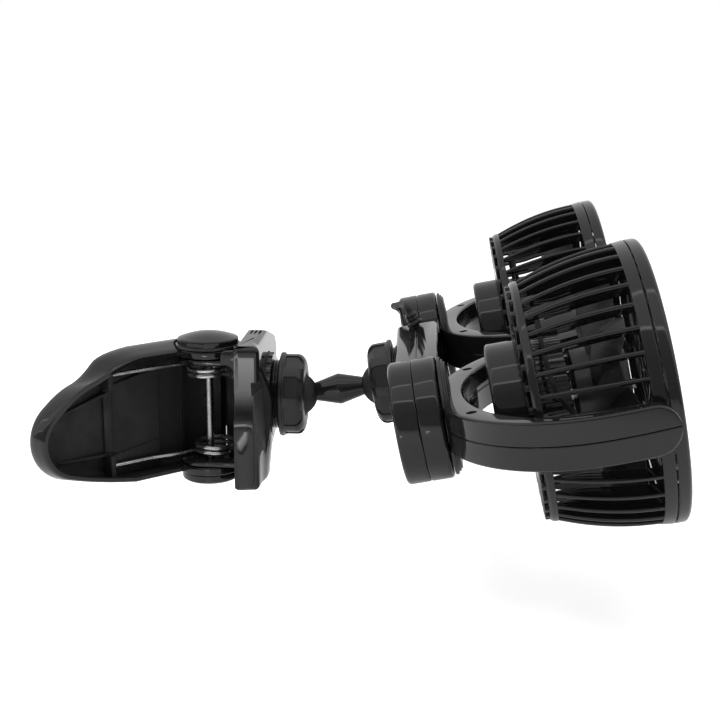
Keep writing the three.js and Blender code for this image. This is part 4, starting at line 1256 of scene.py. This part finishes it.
# ---- Stage: floor, studio light and camera ---------------------------------------------------------------
def floor():
    """A wide pale disc just under the object. Its far part fades to the white of the backdrop."""
    work = bmesh.new()
    low = cad_box[0].z - 0.001
    bmesh.ops.create_circle(work, cap_ends=True, segments=96, radius=6.0,
                            matrix=Matrix.Translation((0, 0, low)))
    mesh = bpy.data.meshes.new("floor")
    work.to_mesh(mesh)
    work.free()
    paper = Nodes("pale_paper")
    tone = paper.mix(paper.noise(40, 4), grey(0.80), grey(0.84))
    rays = paper.add("ShaderNodeLightPath").outputs["Is Camera Ray"]
    paper.finish(Base_Color=tone, Roughness=0.8, Emission_Color=grey(1.0),
                 Emission_Strength=paper.math("MULTIPLY", rays, 0.58))
    white = paper.add("ShaderNodeEmission", {"Color": grey(1.0), "Strength": 1.0}).outputs[0]
    far = paper.add("ShaderNodeVectorMath", {0: paper.where}, operation="LENGTH").outputs["Value"]
    fade = paper.math("MULTIPLY", paper.spread(far, 0.0, 1.0, 0.25, 1.2), rays)
    blend = paper.add("ShaderNodeMixShader", {0: fade, 1: paper.shader.outputs[0], 2: white})
    # Only reflections see this lit card, which lies in front of the clip and dims towards the object.
    # Its last fade goes by the ray's direction and keeps the card out of the near yoke.
    across, along = (paper.add("ShaderNodeSeparateXYZ", {0: paper.where}).outputs[name] for name in "XY")
    glow = 0.1
    for gain, start, end in ((3.0, -0.268, -0.3), (3.2, -0.3, -0.406), (1.0, -0.25, -0.23)):
        glow = paper.math("ADD", paper.spread(along, 0.0, gain, start, end), glow)
    card = paper.add("ShaderNodeEmission", {"Color": grey(1.0), "Strength": glow}).outputs[0]
    share = paper.add("ShaderNodeLightPath").outputs["Is Glossy Ray"]
    incoming = paper.add("ShaderNodeNewGeometry").outputs["Incoming"]
    slant = paper.add("ShaderNodeSeparateXYZ", {0: incoming}).outputs["X"]
    fades = ((across, 0.0, 0.02), (across, -0.09, -0.11), (along, -0.42, -0.44), (slant, 0.19, 0.25))
    for value, start, end in fades:
        share = paper.math("MULTIPLY", paper.spread(value, 1.0, 0.0, start, end), share)
    surface = paper.add("ShaderNodeMixShader", {0: share, 1: blend.outputs[0], 2: card})
    paper.put(paper.tree.nodes["Material Output"].inputs["Surface"], surface.outputs[0])
    mesh.materials.append(paper.material)
    disc = bpy.data.objects.new("floor", mesh)
    bpy.context.scene.collection.objects.link(disc)


def studio():
    """White to the camera. To the object, a room: soft ceiling panels with bright rims, a dimmer front."""
    world = bpy.data.worlds.new("studio")
    bpy.context.scene.world = world
    world.use_nodes = True
    world.node_tree.nodes.clear()
    room = Tree(world.node_tree)
    way = room.add("ShaderNodeTexCoord").outputs["Generated"]
    split = room.add("ShaderNodeSeparateXYZ", {0: way})
    front = room.math("MULTIPLY", split.outputs["Y"], -1.0)
    angle = room.math("ARCTAN2", split.outputs["Z"], front)
    share = room.spread(angle, 0.0, 1.0, -math.pi, math.pi)
    shades = room.add("ShaderNodeValToRGB", {"Fac": share})
    # Degrees above the front horizon, and how bright the room is there.
    stops = [(-180, 0.75), (-60, 0.5), (-12, 0.45), (-9, 0.3), (28, 0.27), (50, 0.4), (53, 0.45),
             (53.5, 2.6), (54.8, 2.6), (55.5, 0.8), (85.5, 0.95), (86.5, 2.6), (88, 2.6), (89, 0.75),
             (140, 0.7), (180, 0.75)]
    elements = shades.color_ramp.elements
    while len(elements) < len(stops):
        elements.new(0.5)
    for element, (degrees, level) in zip(elements, stops):
        element.position = (degrees + 180) / 360
        element.color = grey(level)
    lit = room.add("ShaderNodeBackground", {"Color": shades.outputs["Color"]}).outputs[0]
    seen = room.add("ShaderNodeBackground", {"Color": grey(1.0)}).outputs[0]
    rays = room.add("ShaderNodeLightPath").outputs["Is Camera Ray"]
    choose = room.add("ShaderNodeMixShader", {0: rays, 1: lit, 2: seen}).outputs[0]
    room.put(room.add("ShaderNodeOutputWorld").inputs["Surface"], choose)


def softbox(name, spot, size, power):
    """A rectangular area light that faces the middle of the object and isn't seen in reflections."""
    light = bpy.data.lights.new(name, "AREA")
    light.shape = "RECTANGLE"
    light.size, light.size_y = size
    light.energy = power
    holder = bpy.data.objects.new(name, light)
    middle = (cad_box[0] + cad_box[1]) / 2
    holder.location = middle + Vector(spot)
    holder.rotation_mode = "QUATERNION"
    holder.rotation_quaternion = (-Vector(spot)).to_track_quat("-Z", "Y")
    holder.visible_glossy = False
    bpy.context.scene.collection.objects.link(holder)


CAMERA_AZIMUTH = 3.3
CAMERA_ELEVATION = 12.17
CAMERA_DISTANCE = 0.4469
CAMERA_AIM = Vector((0.0385, -0.0083, 0.0112))
LENS = 66.1


def camera():
    data = bpy.data.cameras.new("camera")
    data.lens, data.sensor_width = LENS, 36.0
    data.clip_start, data.clip_end = 0.01, 50
    holder = bpy.data.objects.new("camera", data)
    a, e = math.radians(CAMERA_AZIMUTH), math.radians(CAMERA_ELEVATION)
    back = Vector((math.sin(a) * math.cos(e), -math.cos(a) * math.cos(e), math.sin(e)))
    holder.location = CAMERA_AIM + back * CAMERA_DISTANCE
    holder.rotation_mode = "QUATERNION"
    holder.rotation_quaternion = (-back).to_track_quat("-Z", "Y")
    bpy.context.scene.collection.objects.link(holder)
    bpy.context.scene.camera = holder


floor()
studio()
softbox("key", (-0.5, -0.5, 1.2), (0.9, 0.5), 9)
softbox("back", (0.3, 1.1, 0.6), (1.4, 0.5), 8)
camera()
bpy.context.scene.view_settings.view_transform = "Standard"

for material in spare:
    bpy.data.materials.remove(material)
